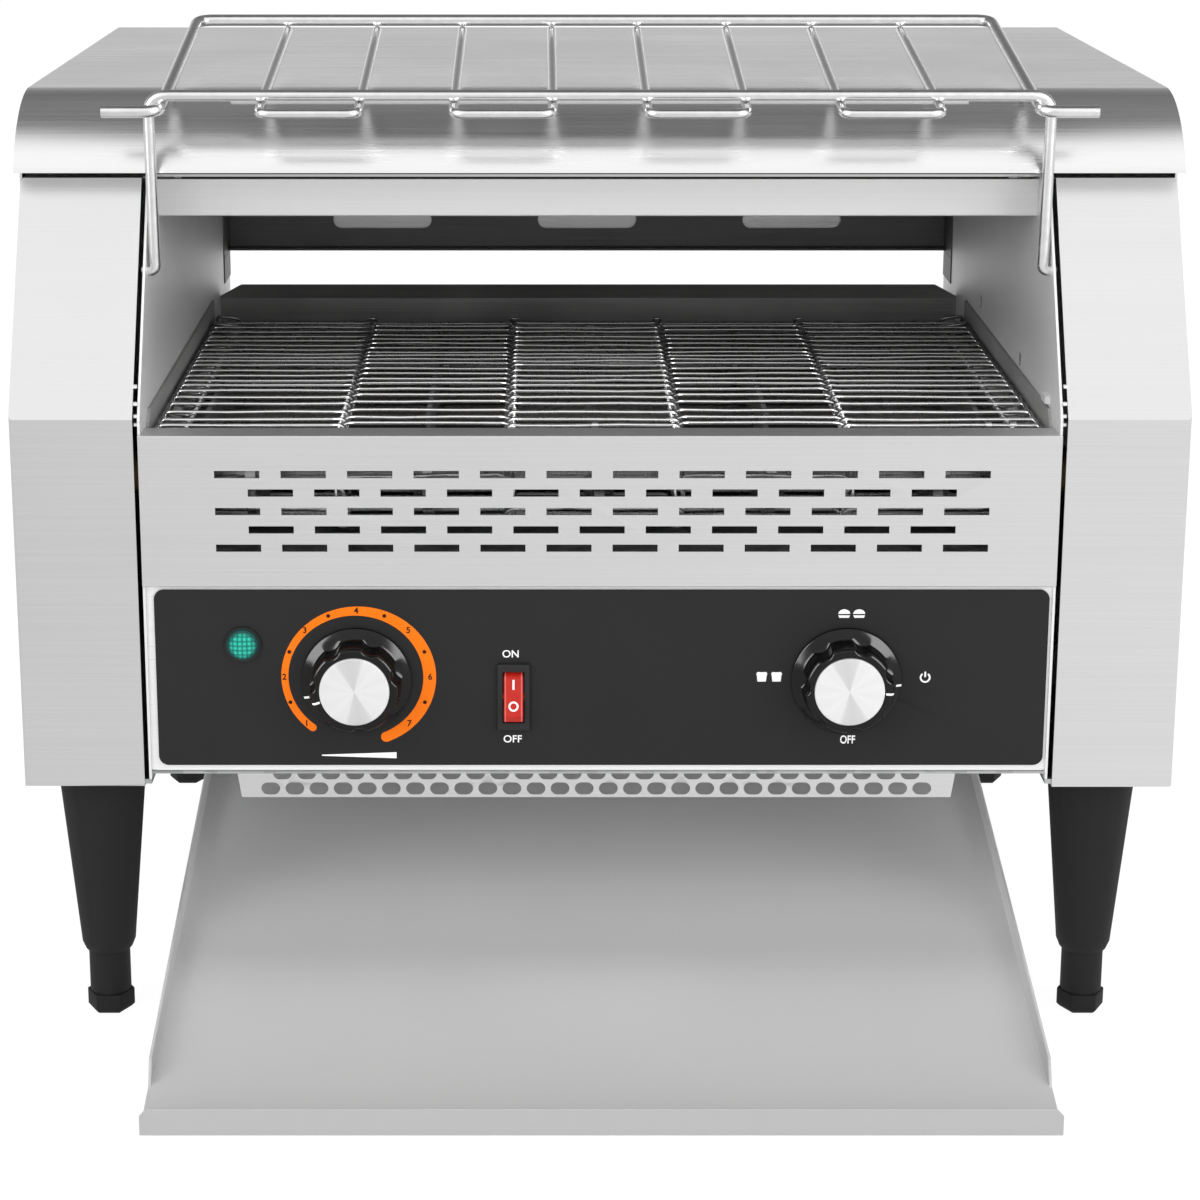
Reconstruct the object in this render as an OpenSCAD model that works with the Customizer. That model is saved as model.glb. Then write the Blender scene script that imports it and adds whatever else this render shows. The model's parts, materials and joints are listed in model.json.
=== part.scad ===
// Conveyor toaster, counter-top, five-section wire belt.
// Each sub-part has its own module, and the node value picks which one is drawn.
// All sizes are in millimetres. X runs left to right, Y from front to back, Z up from the counter.
// Inside the modules Y is counted from the front face of the two columns.

/* [Cabinet] */
// overall width across the two columns
body_w = 468; // [440:1:500]
// width of one column, seen from the front
column_w = 49; // [44:1:56]
// height of the cabinet's underside
body_z = 111; // [95:1:130]
// back face of the columns
body_back = 331; // [315:1:350]
// height where the column fronts start to lean back
slant_z = 265; // [255:1:275]
// how far the leaning part goes back
slant_run = 49; // [40:1:55]
// top of the columns
column_top = 354; // [350:1:358]
// sheet thickness of the steel panels
sheet = 1; // [0.8:0.1:1.2]
// dark gap between a column and the cheek plate beside it
cheek_gap = 1.8; // [1:0.1:3]

/* [Hood] */
// how far the hood's end skirts stand outside the columns
hood_overhang = 1; // [0.5:0.1:3]
// top of the hood
hood_top = 387; // [384:1:390]
// radius of the rolled front edge
hood_roll_r = 47; // [44:1:50]
// underside of the rolled edge's lip
hood_lip_z = 357.5; // [356:0.5:359]
// depth of the lip folded under the front edge
hood_lip_depth = 10; // [6:1:14]
// underside of the rail behind the hood's front edge
rail_z = 334.6; // [330:0.2:340]

/* [Front panels] */
// lower edge of the vent panel
vent_z = 196; // [190:1:200]
// upper edge of the vent panel
vent_top = 258.5; // [254:0.5:260]
// length of one vent slot
vent_slot_w = 18; // [14:0.5:20]
// height of one vent slot
vent_slot_h = 3; // [2:0.2:4]
// distance from one vent slot to the next
vent_slot_pitch = 26.4; // [24:0.2:28]
// distance from one row of vent slots to the next
vent_row_pitch = 7.6; // [6.5:0.1:8]
// lower edge of the control panel
panel_z = 117; // [115:0.5:119]
// lower edge of the black fascia
fascia_z = 120; // [119:0.5:124]
// upper edge of the black fascia
fascia_top = 194.5; // [190:0.5:195.5]

/* [Belt] */
// belt wire diameter
wire_d = 2; // [1.6:0.1:2.4]
// distance from one belt wire to the next
belt_pitch = 10.3; // [9.6:0.1:11]
// space between the belt's edge and the cheek plate beside it
belt_side_gap = 3.2; // [2.5:0.1:10]
// pitches in one straight run
run_pitches = 20; // [16:1:21]
// height of both belt shafts
shaft_z = 236; // [233:0.5:238]
// front shaft's distance behind the column fronts
idler_y = 28; // [26:0.5:34]
// belt shaft diameter
shaft_d = 10; // [8:0.5:12]

/* [Toast tray] */
// space between the tray's edge and the column beside it
tray_side_gap = 6; // [5:0.5:20]
// how far the tray's front edge stands forward of the columns
tray_front = 86; // [70:1:100]
// slope of the tray's floor
tray_slope = 12.5; // [10:0.5:13.5]
// back end of the tray
tray_back = 290; // [270:1:300]

/* [Loading rack] */
// wire of the bail that carries the rack
bail_wire_d = 4.7; // [4:0.1:5.2]
// wire of the rack's frame
frame_wire_d = 5; // [4.4:0.1:5.4]
// wire of the rack's slats
slat_wire_d = 4; // [3:0.1:4.4]
// wire that ties the slats together
cross_wire_d = 3.4; // [2.6:0.1:3.8]
// bail pivot, behind the column fronts
bail_y = 38; // [36:0.5:40]
// bail pivot height
bail_z = 318; // [312:0.5:324]

/* [Knobs] */
// knob skirt diameter
knob_skirt_d = 44.7; // [38:0.1:48]
// knob grip diameter
knob_grip_d = 36; // [30:0.5:38]
// knob cap diameter
knob_cap_d = 28.2; // [22:0.1:30]
// how far a knob's face stands out of the fascia
knob_reach = 15.3; // [12:0.1:18]
// speed knob, left of the middle
speed_knob_x = -98; // [-104:1:-92]
// mode knob, right of the middle
mode_knob_x = 100; // [94:1:106]
// height of both knobs
knob_z = 156.5; // [150:0.5:162]

/* [Legs] */
// distance from the cabinet's side to a leg's axis
leg_inset = 27; // [24:1:30]
// front leg axis
leg_front_y = 30; // [24:1:36]
// back leg axis
leg_back_y = 300; // [280:1:310]
// leg diameter under the cabinet
leg_top_d = 37; // [32:0.5:40]
// leg diameter at its lower end
leg_low_d = 22.5; // [21:0.5:26]
// screw-in foot's shank diameter
foot_d = 17.3; // [14:0.1:18]

/* [Fits] */
// play between a shaft and its bore, across the diameter
running_play = 0.16; // [0.04:0.02:0.2]
// space between parts that move past each other
clear_gap = 0.4; // [0.3:0.1:0.8]

/* [Hidden] */
half_w = body_w / 2;
column_in = half_w - column_w;
cheek_x = column_in - cheek_gap;
inner_x = cheek_x - sheet;
hood_w = body_w + 2 * hood_overhang;
belt_half_w = inner_x - belt_side_gap;
tray_half_w = column_in - tray_side_gap;
leg_x = half_w - leg_inset;
mid_y = (body_back + sheet - tray_front) / 2;
lean = atan(slant_run / (column_top - slant_z));
base_t = 2;
base_z = body_z + sheet;
base_top = base_z + base_t;
floor_z = panel_z - sheet;
deck_z = 204;
box_back = 236;
panel_y = 2;
fascia_y = panel_y - sheet;
fascia_left = -inner_x + 3.2;
fascia_right = inner_x - 1.2;
hood_back = body_back + sheet;
roll_y = 82;
roll_z = hood_top - hood_roll_r;
skirt_z = 350;
rail_y = 71;
rail_top = 350.2;
flange_z = column_top - 2 * sheet;
reflector_z = flange_z - sheet;
window_top = 275.6;
lower_back_top = 250;

belt_r = belt_pitch / 2 / sin(180 / 12);
drive_y = idler_y + run_pitches * belt_pitch;
strands = 2 * run_pitches + 12;
hook_end = belt_pitch - wire_d / 2 - 0.3;
loop_w = 11;
link_d = wire_d - 0.2;
belt_section_w = 68;
belt_shift = -2;
joint_x = [for (i = [-1.5:1:1.5]) belt_shift + i * belt_section_w];
section_x = concat([-belt_half_w], joint_x, [belt_half_w]);
sprocket_x = [-140, -69, 0, 69, 136];
sprocket_tip_r = belt_r - wire_d / 2 - clear_gap - 0.2;
sprocket_root_r = sprocket_tip_r - 3.2;
belt_under = shaft_z + belt_r - wire_d / 2;
lower_reflector_z = shaft_z - 12;

bush_d = 18;
bush_flange_d = 26;
chain_x = cheek_x + 12.8;
chain_w = 5;
drive_chain_r = 16.3;
motor_chain_r = 12.3;
motor_z = 160;
motor_y = drive_y;
motor_shaft_d = 8;
bracket_x = chain_x + 7;
gearbox_x = bracket_x + base_t;
gearbox_w = 26;

fan_y = 250;
fan_z = 165;
fan_size = 60;
fan_x = -(half_w - sheet);
fan_depth = 24;

lamp_x = fascia_left + 35.4;
lamp_z = 171.8;
rocker_x = -34.5;
rocker_z = 149.5;
rocker_pivot_y = 1.5;
rocker_rest = -10;
bushing_d = 10;
pot_shaft_d = 6;
knob_back = fascia_y - clear_gap;
knob_face = fascia_y - knob_reach;
cap_t = 0.8;
speed_pointer = 198;
mode_pointer = -4;

crossbar_y = 33;
frame_front_y = 28;
frame_front_z = 383.5;
frame_back_y = 162;
frame_back_z = 406.7;
frame_rise = (frame_back_z - frame_front_z) / (frame_back_y - frame_front_y);
frame_slant = sqrt(1 + frame_rise * frame_rise);
crossbar_z = frame_front_z + (crossbar_y - frame_front_y) * frame_rise
    + (frame_wire_d + bail_wire_d) / 2 * frame_slant + 0.02;
bail_half_w = inner_x - 3;
frame_half_w = bail_half_w - (frame_wire_d + bail_wire_d) / 2 - 0.05;
stub_x = column_in + 12;
cross_half_w = 147;
cross_y = 40;
slat_front_y = 22;
slat_back_z = frame_back_z - (frame_wire_d + slat_wire_d) / 2;
slat_weld = (crossbar_y - slat_front_y) / (frame_back_y - slat_front_y);
slat_weld_z = crossbar_z - (bail_wire_d + slat_wire_d) / 2 * frame_slant;
slat_front_z = (slat_weld_z - slat_weld * slat_back_z) / (1 - slat_weld);
slat_rise = (slat_back_z - slat_front_z) / (frame_back_y - slat_front_y);
slat_pitch = 76.7;
slat_half_w = 19.6;

sleeve_low_z = 31.5;
sleeve_end_z = 28;
hex_top_z = 9;
stud_d = 8;
stud_top = base_top + 5;

guard_y = 39;
guard_lip_z = 91.3;
deflector_y = 285;
gland_y = 182;
gland_d = 9;

// Helpers

// puts a module's piece into the shared frame, with the origin under the middle
module placed() {
    translate([0, -mid_y, 0])
        children();
}

// a piece drawn for the right side, turned over for the left one
module on_side(side) {
    if (side < 0) {
        mirror([1, 0, 0])
            children();
    } else {
        children();
    }
}

// a box between two corners
module slab(x0, x1, y0, y1, z0, z1) {
    translate([x0, y0, z0])
        cube([x1 - x0, y1 - y0, z1 - z0]);
}

// a flat shape in Y and Z, drawn out from x0 to x1
module prism_x(x0, x1) {
    translate([x0, 0, 0])
        rotate([90, 0, 90])
            linear_extrude(x1 - x0)
                children();
}

// a round bar along X from x0 to x1
module bar_x(x0, x1, y, z, d) {
    translate([x0, y, z])
        rotate([0, 90, 0])
            cylinder(d = d, h = x1 - x0, $fn = 48);
}

// a round bar along Y from y0 to y1
module bar_y(x, y0, y1, z, d) {
    translate([x, y0, z])
        rotate([-90, 0, 0])
            cylinder(d = d, h = y1 - y0, $fn = 64);
}

// a round bar along Z from z0 to z1
module bar_z(x, y, z0, z1, d) {
    translate([x, y, z0])
        cylinder(d = d, h = z1 - z0, $fn = 48);
}

// a straight wire between two points
module wire(from, to, d) {
    run = to - from;
    flat = norm([run[0], run[1]]);
    translate(from)
        rotate([0, atan2(flat, run[2]), atan2(run[1], run[0])])
            cylinder(d = d, h = norm(run), $fn = 32);
}

// a ball where two wires meet, a touch wider than the wire
module knuckle(at, d) {
    translate(at)
        sphere(d = d * 1.06, $fn = 32);
}

// the side outline of a column, moved inwards
function side_outline(inset) = [
    [inset, body_z + inset],
    [inset, slant_z - inset * tan(lean / 2)],
    [slant_run + inset * tan((90 - lean) / 2), column_top - inset],
    [body_back - inset, column_top - inset],
    [body_back - inset, body_z + inset]];

// a horizontal slot with round ends through a sheet that faces Y
module round_slot(x, y, z, w, h, depth) {
    bar_y(x - (w - h) / 2, y, y + depth, z, h);
    bar_y(x + (w - h) / 2, y, y + depth, z, h);
    slab(x - (w - h) / 2, x + (w - h) / 2, y, y + depth, z - h / 2, z + h / 2);
}

// Cabinet

module side_cover(side) {
    placed()
        on_side(side)
            difference() {
                prism_x(column_in, half_w)
                    polygon(side_outline(0));
                prism_x(column_in - 1, half_w - sheet)
                    polygon(side_outline(sheet));
                for (i = [0:7])
                    slab(half_w - 2 * sheet, half_w + 1, 215 + i * 10, 219 + i * 10, 140, 190);
                for (y = [leg_front_y, leg_back_y])
                    bar_z(leg_x, y, body_z - 1, base_z + 0.5, stud_d);
                for (y = screw_y)
                    bar_z(screw_x, y, body_z - 1, base_z + 0.5, screw_d);
                if (side > 0)
                    bar_z(leg_x, gland_y, body_z - 1, base_z + 0.5, 16);
            }
}

module left_side_cover() {
    color("#c4c4c4")
        side_cover(-1);
}

module right_side_cover() {
    color("#c4c4c4")
        side_cover(1);
}

guard_slots = [[97, 265], [206, 268.6]];

// inner side plate, with a flange on top that holds the cover; the right one has a tab and two slots
module cheek(side) {
    placed()
        on_side(side)
            difference() {
                union() {
                    prism_x(inner_x, cheek_x)
                        polygon([
                            [sheet, base_top],
                            [sheet, slant_z - sheet * tan(lean / 2)],
                            [slant_run + sheet * tan((90 - lean) / 2), column_top - sheet],
                            [body_back - sheet, column_top - sheet],
                            [body_back - sheet, base_top]]);
                    slab(cheek_x - 0.5, half_w - sheet, 60, body_back - sheet, flange_z, flange_z + sheet);
                    if (side > 0)
                        slab(inner_x - 2, inner_x + 0.5, 26, 35, 265.4, 268.4);
                }
                for (y = [idler_y, drive_y])
                    bar_x(inner_x - 1, cheek_x + 1, y, shaft_z, bush_d);
                bar_x(inner_x - 1, cheek_x + 1, bail_y, bail_z, bail_wire_d + running_play);
                for (i = [0:upper_heater_count - 1])
                    bar_x(inner_x - 1, cheek_x + 1, upper_heater_y + i * upper_heater_pitch, upper_heater_z,
                        heater_cap_d);
                for (i = [0:lower_heater_count - 1])
                    bar_x(inner_x - 1, cheek_x + 1, lower_heater_y + i * lower_heater_pitch, lower_heater_z,
                        heater_cap_d);
                if (side > 0)
                    for (slot = guard_slots)
                        slab(inner_x - 1, cheek_x + 1, slot[0], slot[0] + 8, slot[1], slot[1] + 5.6);
            }
}

module cheek_plates() {
    color("#9a9a9a")
        for (side = [-1, 1])
            cheek(side);
}

// floors of the two side housings, with the holes for the leg studs
module base_plates() {
    color("#8c8c8c")
        placed()
            for (side = [-1, 1])
                on_side(side)
                    difference() {
                        slab(inner_x, half_w - sheet, sheet, body_back - sheet, base_z, base_top);
                        for (y = [leg_front_y, leg_back_y])
                            bar_z(leg_x, y, base_z - 1, base_top + 1, stud_d);
                        for (y = screw_y)
                            bar_z(screw_x, y, base_z - 1, base_top + 1, screw_d);
                        if (side > 0)
                            bar_z(leg_x, gland_y, base_z - 1, base_top + 1, 16);
                    }
}

screw_d = 4;
screw_x = half_w - 8;
screw_y = [70, 160, 235];

// pan-head screws that hold the covers to the base plates
module cover_screws() {
    color("#5a5a5a")
        placed()
            for (side = [-1, 1])
                on_side(side)
                    for (y = screw_y) {
                        bar_z(screw_x, y, body_z - 2.2, body_z, 8);
                        bar_z(screw_x, y, body_z, base_top + 4, screw_d);
                    }
}

// the hood's side outline, moved inwards
module hood_outline(inset) {
    intersection() {
        union() {
            translate([roll_y, roll_z])
                circle(r = hood_roll_r - inset, $fn = 96);
            translate([roll_y, 320])
                square([hood_back - inset - roll_y, hood_top - inset - 320]);
        }
        translate([0, hood_lip_z + inset])
            square([body_back + 50, 60]);
    }
}

// folded hood, with end skirts and a back wall down to the rear window
module top_hood() {
    lip_back = roll_y - hood_roll_r + 3.4 + hood_lip_depth;
    color("#d0d0d0")
        placed()
            union() {
                difference() {
                    prism_x(-hood_w / 2, hood_w / 2)
                        hood_outline(0);
                    prism_x(-hood_w / 2 + sheet, hood_w / 2 - sheet)
                        hood_outline(sheet);
                    slab(-hood_w / 2 + sheet, hood_w / 2 - sheet, lip_back, hood_back - sheet,
                        hood_lip_z - 1, hood_lip_z + 2);
                }
                for (side = [-1, 1])
                    on_side(side)
                        slab(hood_w / 2 - sheet, hood_w / 2, lip_back + 4, hood_back,
                            skirt_z, hood_lip_z + 0.5);
                slab(-hood_w / 2, hood_w / 2, hood_back - sheet, hood_back, window_top, hood_lip_z + 0.5);
            }
}

// upright rail between the cheeks, behind the hood's front edge
module hood_front_rail() {
    color("#a8a8a8")
        placed()
            union() {
                slab(-inner_x, inner_x, rail_y, rail_y + sheet, rail_z, rail_top);
                slab(-inner_x, inner_x, rail_y, rail_y + 9, rail_z, rail_z + sheet);
            }
}

// upper back wall, with three oblong openings
module rear_upper_panel() {
    y = body_back - 2 * sheet;
    color("#3c3c3c")
        placed()
            difference() {
                union() {
                    slab(-inner_x, inner_x, y, y + sheet, window_top, flange_z);
                    slab(-inner_x, inner_x, y - 8, y, window_top, window_top + sheet);
                }
                for (i = [-1:1])
                    round_slot(i * 104, y - 1, 290, 50, 9, 3);
            }
}

// lower back wall, with cooling slots
module rear_lower_panel() {
    y = body_back - sheet;
    color("#a0a0a0")
        placed()
            difference() {
                slab(-column_in, column_in, y, body_back, body_z, lower_back_top);
                for (row = [0:3])
                    for (i = [-4:4])
                        round_slot(i * 34, y - 1, 140 + row * 12, 24, 3.4, 3);
            }
}

// front panel over the belt's front turn, with five rows of slots
module front_vent_panel() {
    row_low = vent_z + 16.3;
    edge = 25;
    vent_slots = 1 + floor((2 * inner_x - vent_slot_w - 2 * edge) / vent_slot_pitch);
    color("#cfcfcf")
        placed()
            difference() {
                union() {
                    slab(-inner_x - sheet, inner_x + sheet, 0, sheet, vent_z, vent_top);
                    slab(-inner_x, inner_x, 0, 14, vent_top - sheet, vent_top);
                }
                for (row = [0:4]) {
                    count = vent_slots - row % 2;
                    for (i = [0:count - 1])
                        slab(1 + (i - (count - 1) / 2) * vent_slot_pitch - vent_slot_w / 2,
                            1 + (i - (count - 1) / 2) * vent_slot_pitch + vent_slot_w / 2,
                            -1, 2 * sheet,
                            row_low + row * vent_row_pitch - vent_slot_h / 2,
                            row_low + row * vent_row_pitch + vent_slot_h / 2);
                }
            }
}

// holes that the controls need in the panel and the fascia
module control_holes() {
    for (x = [speed_knob_x, mode_knob_x])
        bar_y(x, fascia_y - 1, panel_y + 2 * sheet, knob_z, bushing_d);
    bar_y(lamp_x, fascia_y - 1, panel_y + 2 * sheet, lamp_z, 12);
    slab(rocker_x - rocker_body_w / 2, rocker_x + rocker_body_w / 2, fascia_y - 1, panel_y + 2 * sheet,
        rocker_z - rocker_body_h / 2, rocker_z + rocker_body_h / 2);
}

module control_panel() {
    color("#cccccc")
        placed()
            difference() {
                union() {
                    slab(-inner_x, inner_x, panel_y, panel_y + sheet, panel_z, deck_z);
                    slab(-inner_x, inner_x, panel_y, 16, panel_z, panel_z + sheet);
                }
                control_holes();
            }
}

// black printed plate on the control panel
module control_fascia() {
    corner_r = 4;
    color("#363636")
        placed()
            difference() {
                union() {
                    slab(fascia_left + corner_r, fascia_right - corner_r, fascia_y, panel_y,
                        fascia_z, fascia_top);
                    slab(fascia_left, fascia_right, fascia_y, panel_y,
                        fascia_z + corner_r, fascia_top - corner_r);
                    for (x = [fascia_left + corner_r, fascia_right - corner_r])
                        for (z = [fascia_z + corner_r, fascia_top - corner_r])
                            bar_y(x, fascia_y, panel_y, z, 2 * corner_r);
                }
                control_holes();
            }
}

// floor and back wall of the box behind the controls
module control_box_floor() {
    color("#8c8c8c")
        placed()
            union() {
                slab(-inner_x, inner_x, panel_y, box_back, floor_z, panel_z);
                slab(-inner_x, inner_x, box_back - sheet, box_back, floor_z, deck_z);
            }
}

// heat shield between the belt and the control box
module heat_deck() {
    color("#a8a8a8")
        placed()
            slab(-inner_x, inner_x, sheet, box_back + 3, deck_z, deck_z + sheet);
}

// finger guard under the cabinet, with staggered holes in its lip
module perforated_guard() {
    hole_w = 7.9;
    hole_h = 5.4;
    hole_pitch = 10.2;
    row_pitch = 6.8;
    top_half_w = inner_x - 28.5;
    low_half_w = top_half_w - 3.7;
    gaps = floor((2 * low_half_w - hole_w - 12) / hole_pitch);
    color("#b8b8b8")
        placed()
            difference() {
                union() {
                    slab(-low_half_w, low_half_w, guard_y, box_back, floor_z - sheet, floor_z);
                    translate([0, guard_y + sheet, 0])
                        rotate([90, 0, 0])
                            linear_extrude(sheet)
                                polygon([[-low_half_w, guard_lip_z], [low_half_w, guard_lip_z],
                                    [top_half_w, floor_z], [-top_half_w, floor_z]]);
                }
                for (row = [0:2])
                    for (i = [0:gaps - row % 2])
                        round_slot((i - (gaps - row % 2) / 2) * hole_pitch, guard_y - 1,
                            guard_lip_z + 3.9 + row * row_pitch, hole_w, hole_h, 3 * sheet);
            }
}

// plate behind the belt that sends the toast down to the tray
module rear_deflector() {
    fold_z = 258;
    facet = 6;
    low_z = 125;
    top_half_w = inner_x - 12.2;
    color("#3a3a3a")
        placed()
            intersection() {
                prism_x(-inner_x, inner_x)
                    polygon([
                        [deflector_y, low_z],
                        [deflector_y, fold_z],
                        [deflector_y + facet, fold_z + facet],
                        [deflector_y + facet + sheet, fold_z + facet - 0.4],
                        [deflector_y + sheet, fold_z - 0.4],
                        [deflector_y + sheet, low_z]]);
                translate([0, deflector_y + facet + 5, 0])
                    rotate([90, 0, 0])
                        linear_extrude(facet + 10)
                            polygon([[-inner_x, low_z - 5], [inner_x, low_z - 5], [inner_x, fold_z + 1],
                                [top_half_w, fold_z + facet + 1], [-top_half_w, fold_z + facet + 1],
                                [-inner_x, fold_z + 1]]);
            }
}

// Heating

heater_d = 8;
heater_cap_d = 14;
upper_heater_count = 6;
upper_heater_y = 100;
upper_heater_pitch = 32;
upper_heater_z = 342;
lower_heater_count = 4;
lower_heater_y = 68;
lower_heater_pitch = 42;
lower_heater_z = shaft_z + 3;

// polished sheets above the upper heaters and between the belt's two runs
module reflectors() {
    color("#b0b0b0")
        placed() {
            slab(-inner_x, inner_x, rail_y + sheet, body_back - 2 * sheet, reflector_z, flange_z);
            slab(-inner_x, inner_x, idler_y + 24, drive_y - 24,
                lower_reflector_z, lower_reflector_z + sheet);
        }
}

// a row of tube heaters from cheek to cheek
module heater_row(count, y, pitch, z) {
    for (i = [0:count - 1])
        bar_x(-cheek_x - 6, cheek_x + 6, y + i * pitch, z, heater_d);
}

module heater_tubes() {
    color("#6b5f55")
        placed() {
            heater_row(upper_heater_count, upper_heater_y, upper_heater_pitch, upper_heater_z);
            heater_row(lower_heater_count, lower_heater_y, lower_heater_pitch, lower_heater_z);
        }
}

// ceramic collars that hold the heaters in the cheeks
module heater_caps(count, y, pitch, z) {
    for (i = [0:count - 1])
        difference() {
            union() {
                bar_x(inner_x - 3, cheek_x + 5, y + i * pitch, z, heater_cap_d);
                bar_x(cheek_x, cheek_x + 2, y + i * pitch, z, heater_cap_d + 3);
            }
            bar_x(inner_x - 4, cheek_x + 6, y + i * pitch, z, heater_d);
        }
}

module heater_end_caps() {
    color("#e6e0d2")
        placed()
            for (side = [-1, 1])
                on_side(side) {
                    heater_caps(upper_heater_count, upper_heater_y, upper_heater_pitch, upper_heater_z);
                    heater_caps(lower_heater_count, lower_heater_y, lower_heater_pitch, lower_heater_z);
                }
}

// Belt

// a point of the belt's path: the top run, the rear turn, the bottom run, the front turn
function strand_at(k) =
    k <= run_pitches ? [idler_y + k * belt_pitch, shaft_z + belt_r]
    : k < run_pitches + 6 ? [
        drive_y + belt_r * sin((k - run_pitches) * 30),
        shaft_z + belt_r * cos((k - run_pitches) * 30)]
    : k <= 2 * run_pitches + 6 ? [drive_y - (k - run_pitches - 6) * belt_pitch, shaft_z - belt_r]
    : [
        idler_y - belt_r * sin((k - 2 * run_pitches - 6) * 30),
        shaft_z - belt_r * cos((k - 2 * run_pitches - 6) * 30)];

// one wire of the belt: five sections, the odd ones half a pitch back, with hooks to the next wire
module belt_strand() {
    half_pitch = belt_pitch / 2;
    for (i = [0:4])
        bar_x(section_x[i] - wire_d / 2, section_x[i + 1] + wire_d / 2,
            i % 2 == 0 ? half_pitch : 0, 0, wire_d);
    for (x = joint_x)
        bar_y(x, 0, hook_end, 0, link_d);
    for (side = [-1, 1]) {
        bar_x(min(side * belt_half_w, side * (belt_half_w - loop_w)) - wire_d / 2,
            max(side * belt_half_w, side * (belt_half_w - loop_w)) + wire_d / 2, 0, 0, wire_d);
        bar_y(side * belt_half_w, 0, half_pitch, 0, link_d);
        bar_y(side * (belt_half_w - loop_w), 0, hook_end, 0, link_d);
    }
}

// the belt's wires from one place on its path to another
module belt_part(first, last) {
    color("#c9c9c9")
        placed()
            for (k = [first:last]) {
                here = strand_at(k);
                next = strand_at((k + 1) % strands);
                translate([0, here[0], here[1]])
                    rotate([atan2(next[1] - here[1], next[0] - here[0]), 0, 0])
                        belt_strand();
            }
}

module belt_upper_run() {
    belt_part(0, run_pitches - 1);
}

module belt_lower_run() {
    belt_part(run_pitches + 6, 2 * run_pitches + 5);
}

module belt_turns() {
    belt_part(run_pitches, run_pitches + 5);
    belt_part(2 * run_pitches + 6, strands - 1);
}

// upright runners under the belt's top run, with holes that hold the lower heaters
module belt_support_rails() {
    inner_rail_x = 70;
    rail_end = 26;
    color("#4a4a4a")
        placed()
            for (x = [-belt_half_w + 17, -inner_rail_x, inner_rail_x, belt_half_w - 21])
                difference() {
                    slab(x - 1, x + 1, idler_y + rail_end, drive_y - rail_end, lower_reflector_z + sheet,
                        belt_under - 0.1);
                    for (i = [0:lower_heater_count - 1])
                        bar_x(x - 2, x + 2, lower_heater_y + i * lower_heater_pitch, lower_heater_z,
                            heater_d);
                }
}

// strips on the cheeks, beside the belt's edges
module belt_edge_guards() {
    color("#454545")
        placed()
            for (side = [-1, 1])
                on_side(side)
                    difference() {
                        prism_x(inner_x - 1.2, inner_x)
                            polygon([[idler_y - 10, shaft_z + 12], [idler_y - 10, shaft_z + 22],
                                [idler_y - 4, shaft_z + 28], [drive_y + 16, shaft_z + 28],
                                [drive_y + 16, shaft_z + 12]]);
                        for (y = [idler_y, drive_y])
                            bar_x(inner_x - 2, inner_x + 1, y, shaft_z, bush_flange_d + 1);
                    }
}

// Drive

module idler_shaft() {
    color("#8f8f8f")
        placed()
            bar_x(-cheek_x - 8, cheek_x + 8, idler_y, shaft_z, shaft_d);
}

module drive_shaft() {
    color("#8f8f8f")
        placed()
            bar_x(-cheek_x - 8, chain_x + chain_w + 2, drive_y, shaft_z, shaft_d);
}

// a star wheel under the belt wires
module star_wheel(x, y) {
    translate([x, y, shaft_z])
        rotate([0, 90, 0])
            difference() {
                union() {
                    translate([0, 0, -2])
                        cylinder(r = sprocket_root_r, h = 4, $fn = 64);
                    translate([0, 0, -6])
                        cylinder(r = shaft_d / 2 + 4, h = 12, $fn = 48);
                    for (i = [0:11])
                        rotate([0, 0, 15 + i * 30])
                            translate([sprocket_root_r - 1, -2, -2])
                                cube([sprocket_tip_r - sprocket_root_r + 0.9, 4, 4]);
                }
                translate([0, 0, -7])
                    cylinder(d = shaft_d, h = 14, $fn = 48);
            }
}

module idler_sprockets() {
    color("#9a9a9a")
        placed()
            for (x = sprocket_x)
                star_wheel(x, idler_y);
}

module drive_sprockets() {
    color("#9a9a9a")
        placed()
            for (x = sprocket_x)
                star_wheel(x, drive_y);
}

// flanged bushes that carry the two shafts in the cheeks
module shaft_bearings() {
    color("#a88848")
        placed()
            for (side = [-1, 1])
                on_side(side)
                    for (y = [idler_y, drive_y])
                        difference() {
                            union() {
                                bar_x(inner_x - 0.5, cheek_x + 6, y, shaft_z, bush_d);
                                bar_x(cheek_x, cheek_x + 2, y, shaft_z, bush_flange_d);
                            }
                            bar_x(inner_x - 2, cheek_x + 7, y, shaft_z, shaft_d + running_play);
                        }
}

// a toothed chain wheel along X, on a shaft
module chain_wheel(y, z, r, teeth, bore) {
    translate([chain_x, y, z])
        rotate([0, 90, 0])
            difference() {
                union() {
                    cylinder(r = r - 2.5, h = chain_w - 1, $fn = 64);
                    cylinder(r = bore / 2 + 3, h = chain_w + 1.5, $fn = 48);
                    for (i = [0:teeth - 1])
                        rotate([0, 0, i * 360 / teeth])
                            translate([r - 3, -1.2, 1])
                                cube([2.8, 2.4, chain_w - 3]);
                }
                translate([0, 0, -1])
                    cylinder(d = bore, h = chain_w + 4, $fn = 48);
            }
}

module shaft_chain_sprocket() {
    color("#7c7c7c")
        placed()
            chain_wheel(drive_y, shaft_z, drive_chain_r, 16, shaft_d);
}

module motor_chain_sprocket() {
    color("#7c7c7c")
        placed()
            chain_wheel(motor_y, motor_z, motor_chain_r, 12, motor_shaft_d);
}

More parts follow.
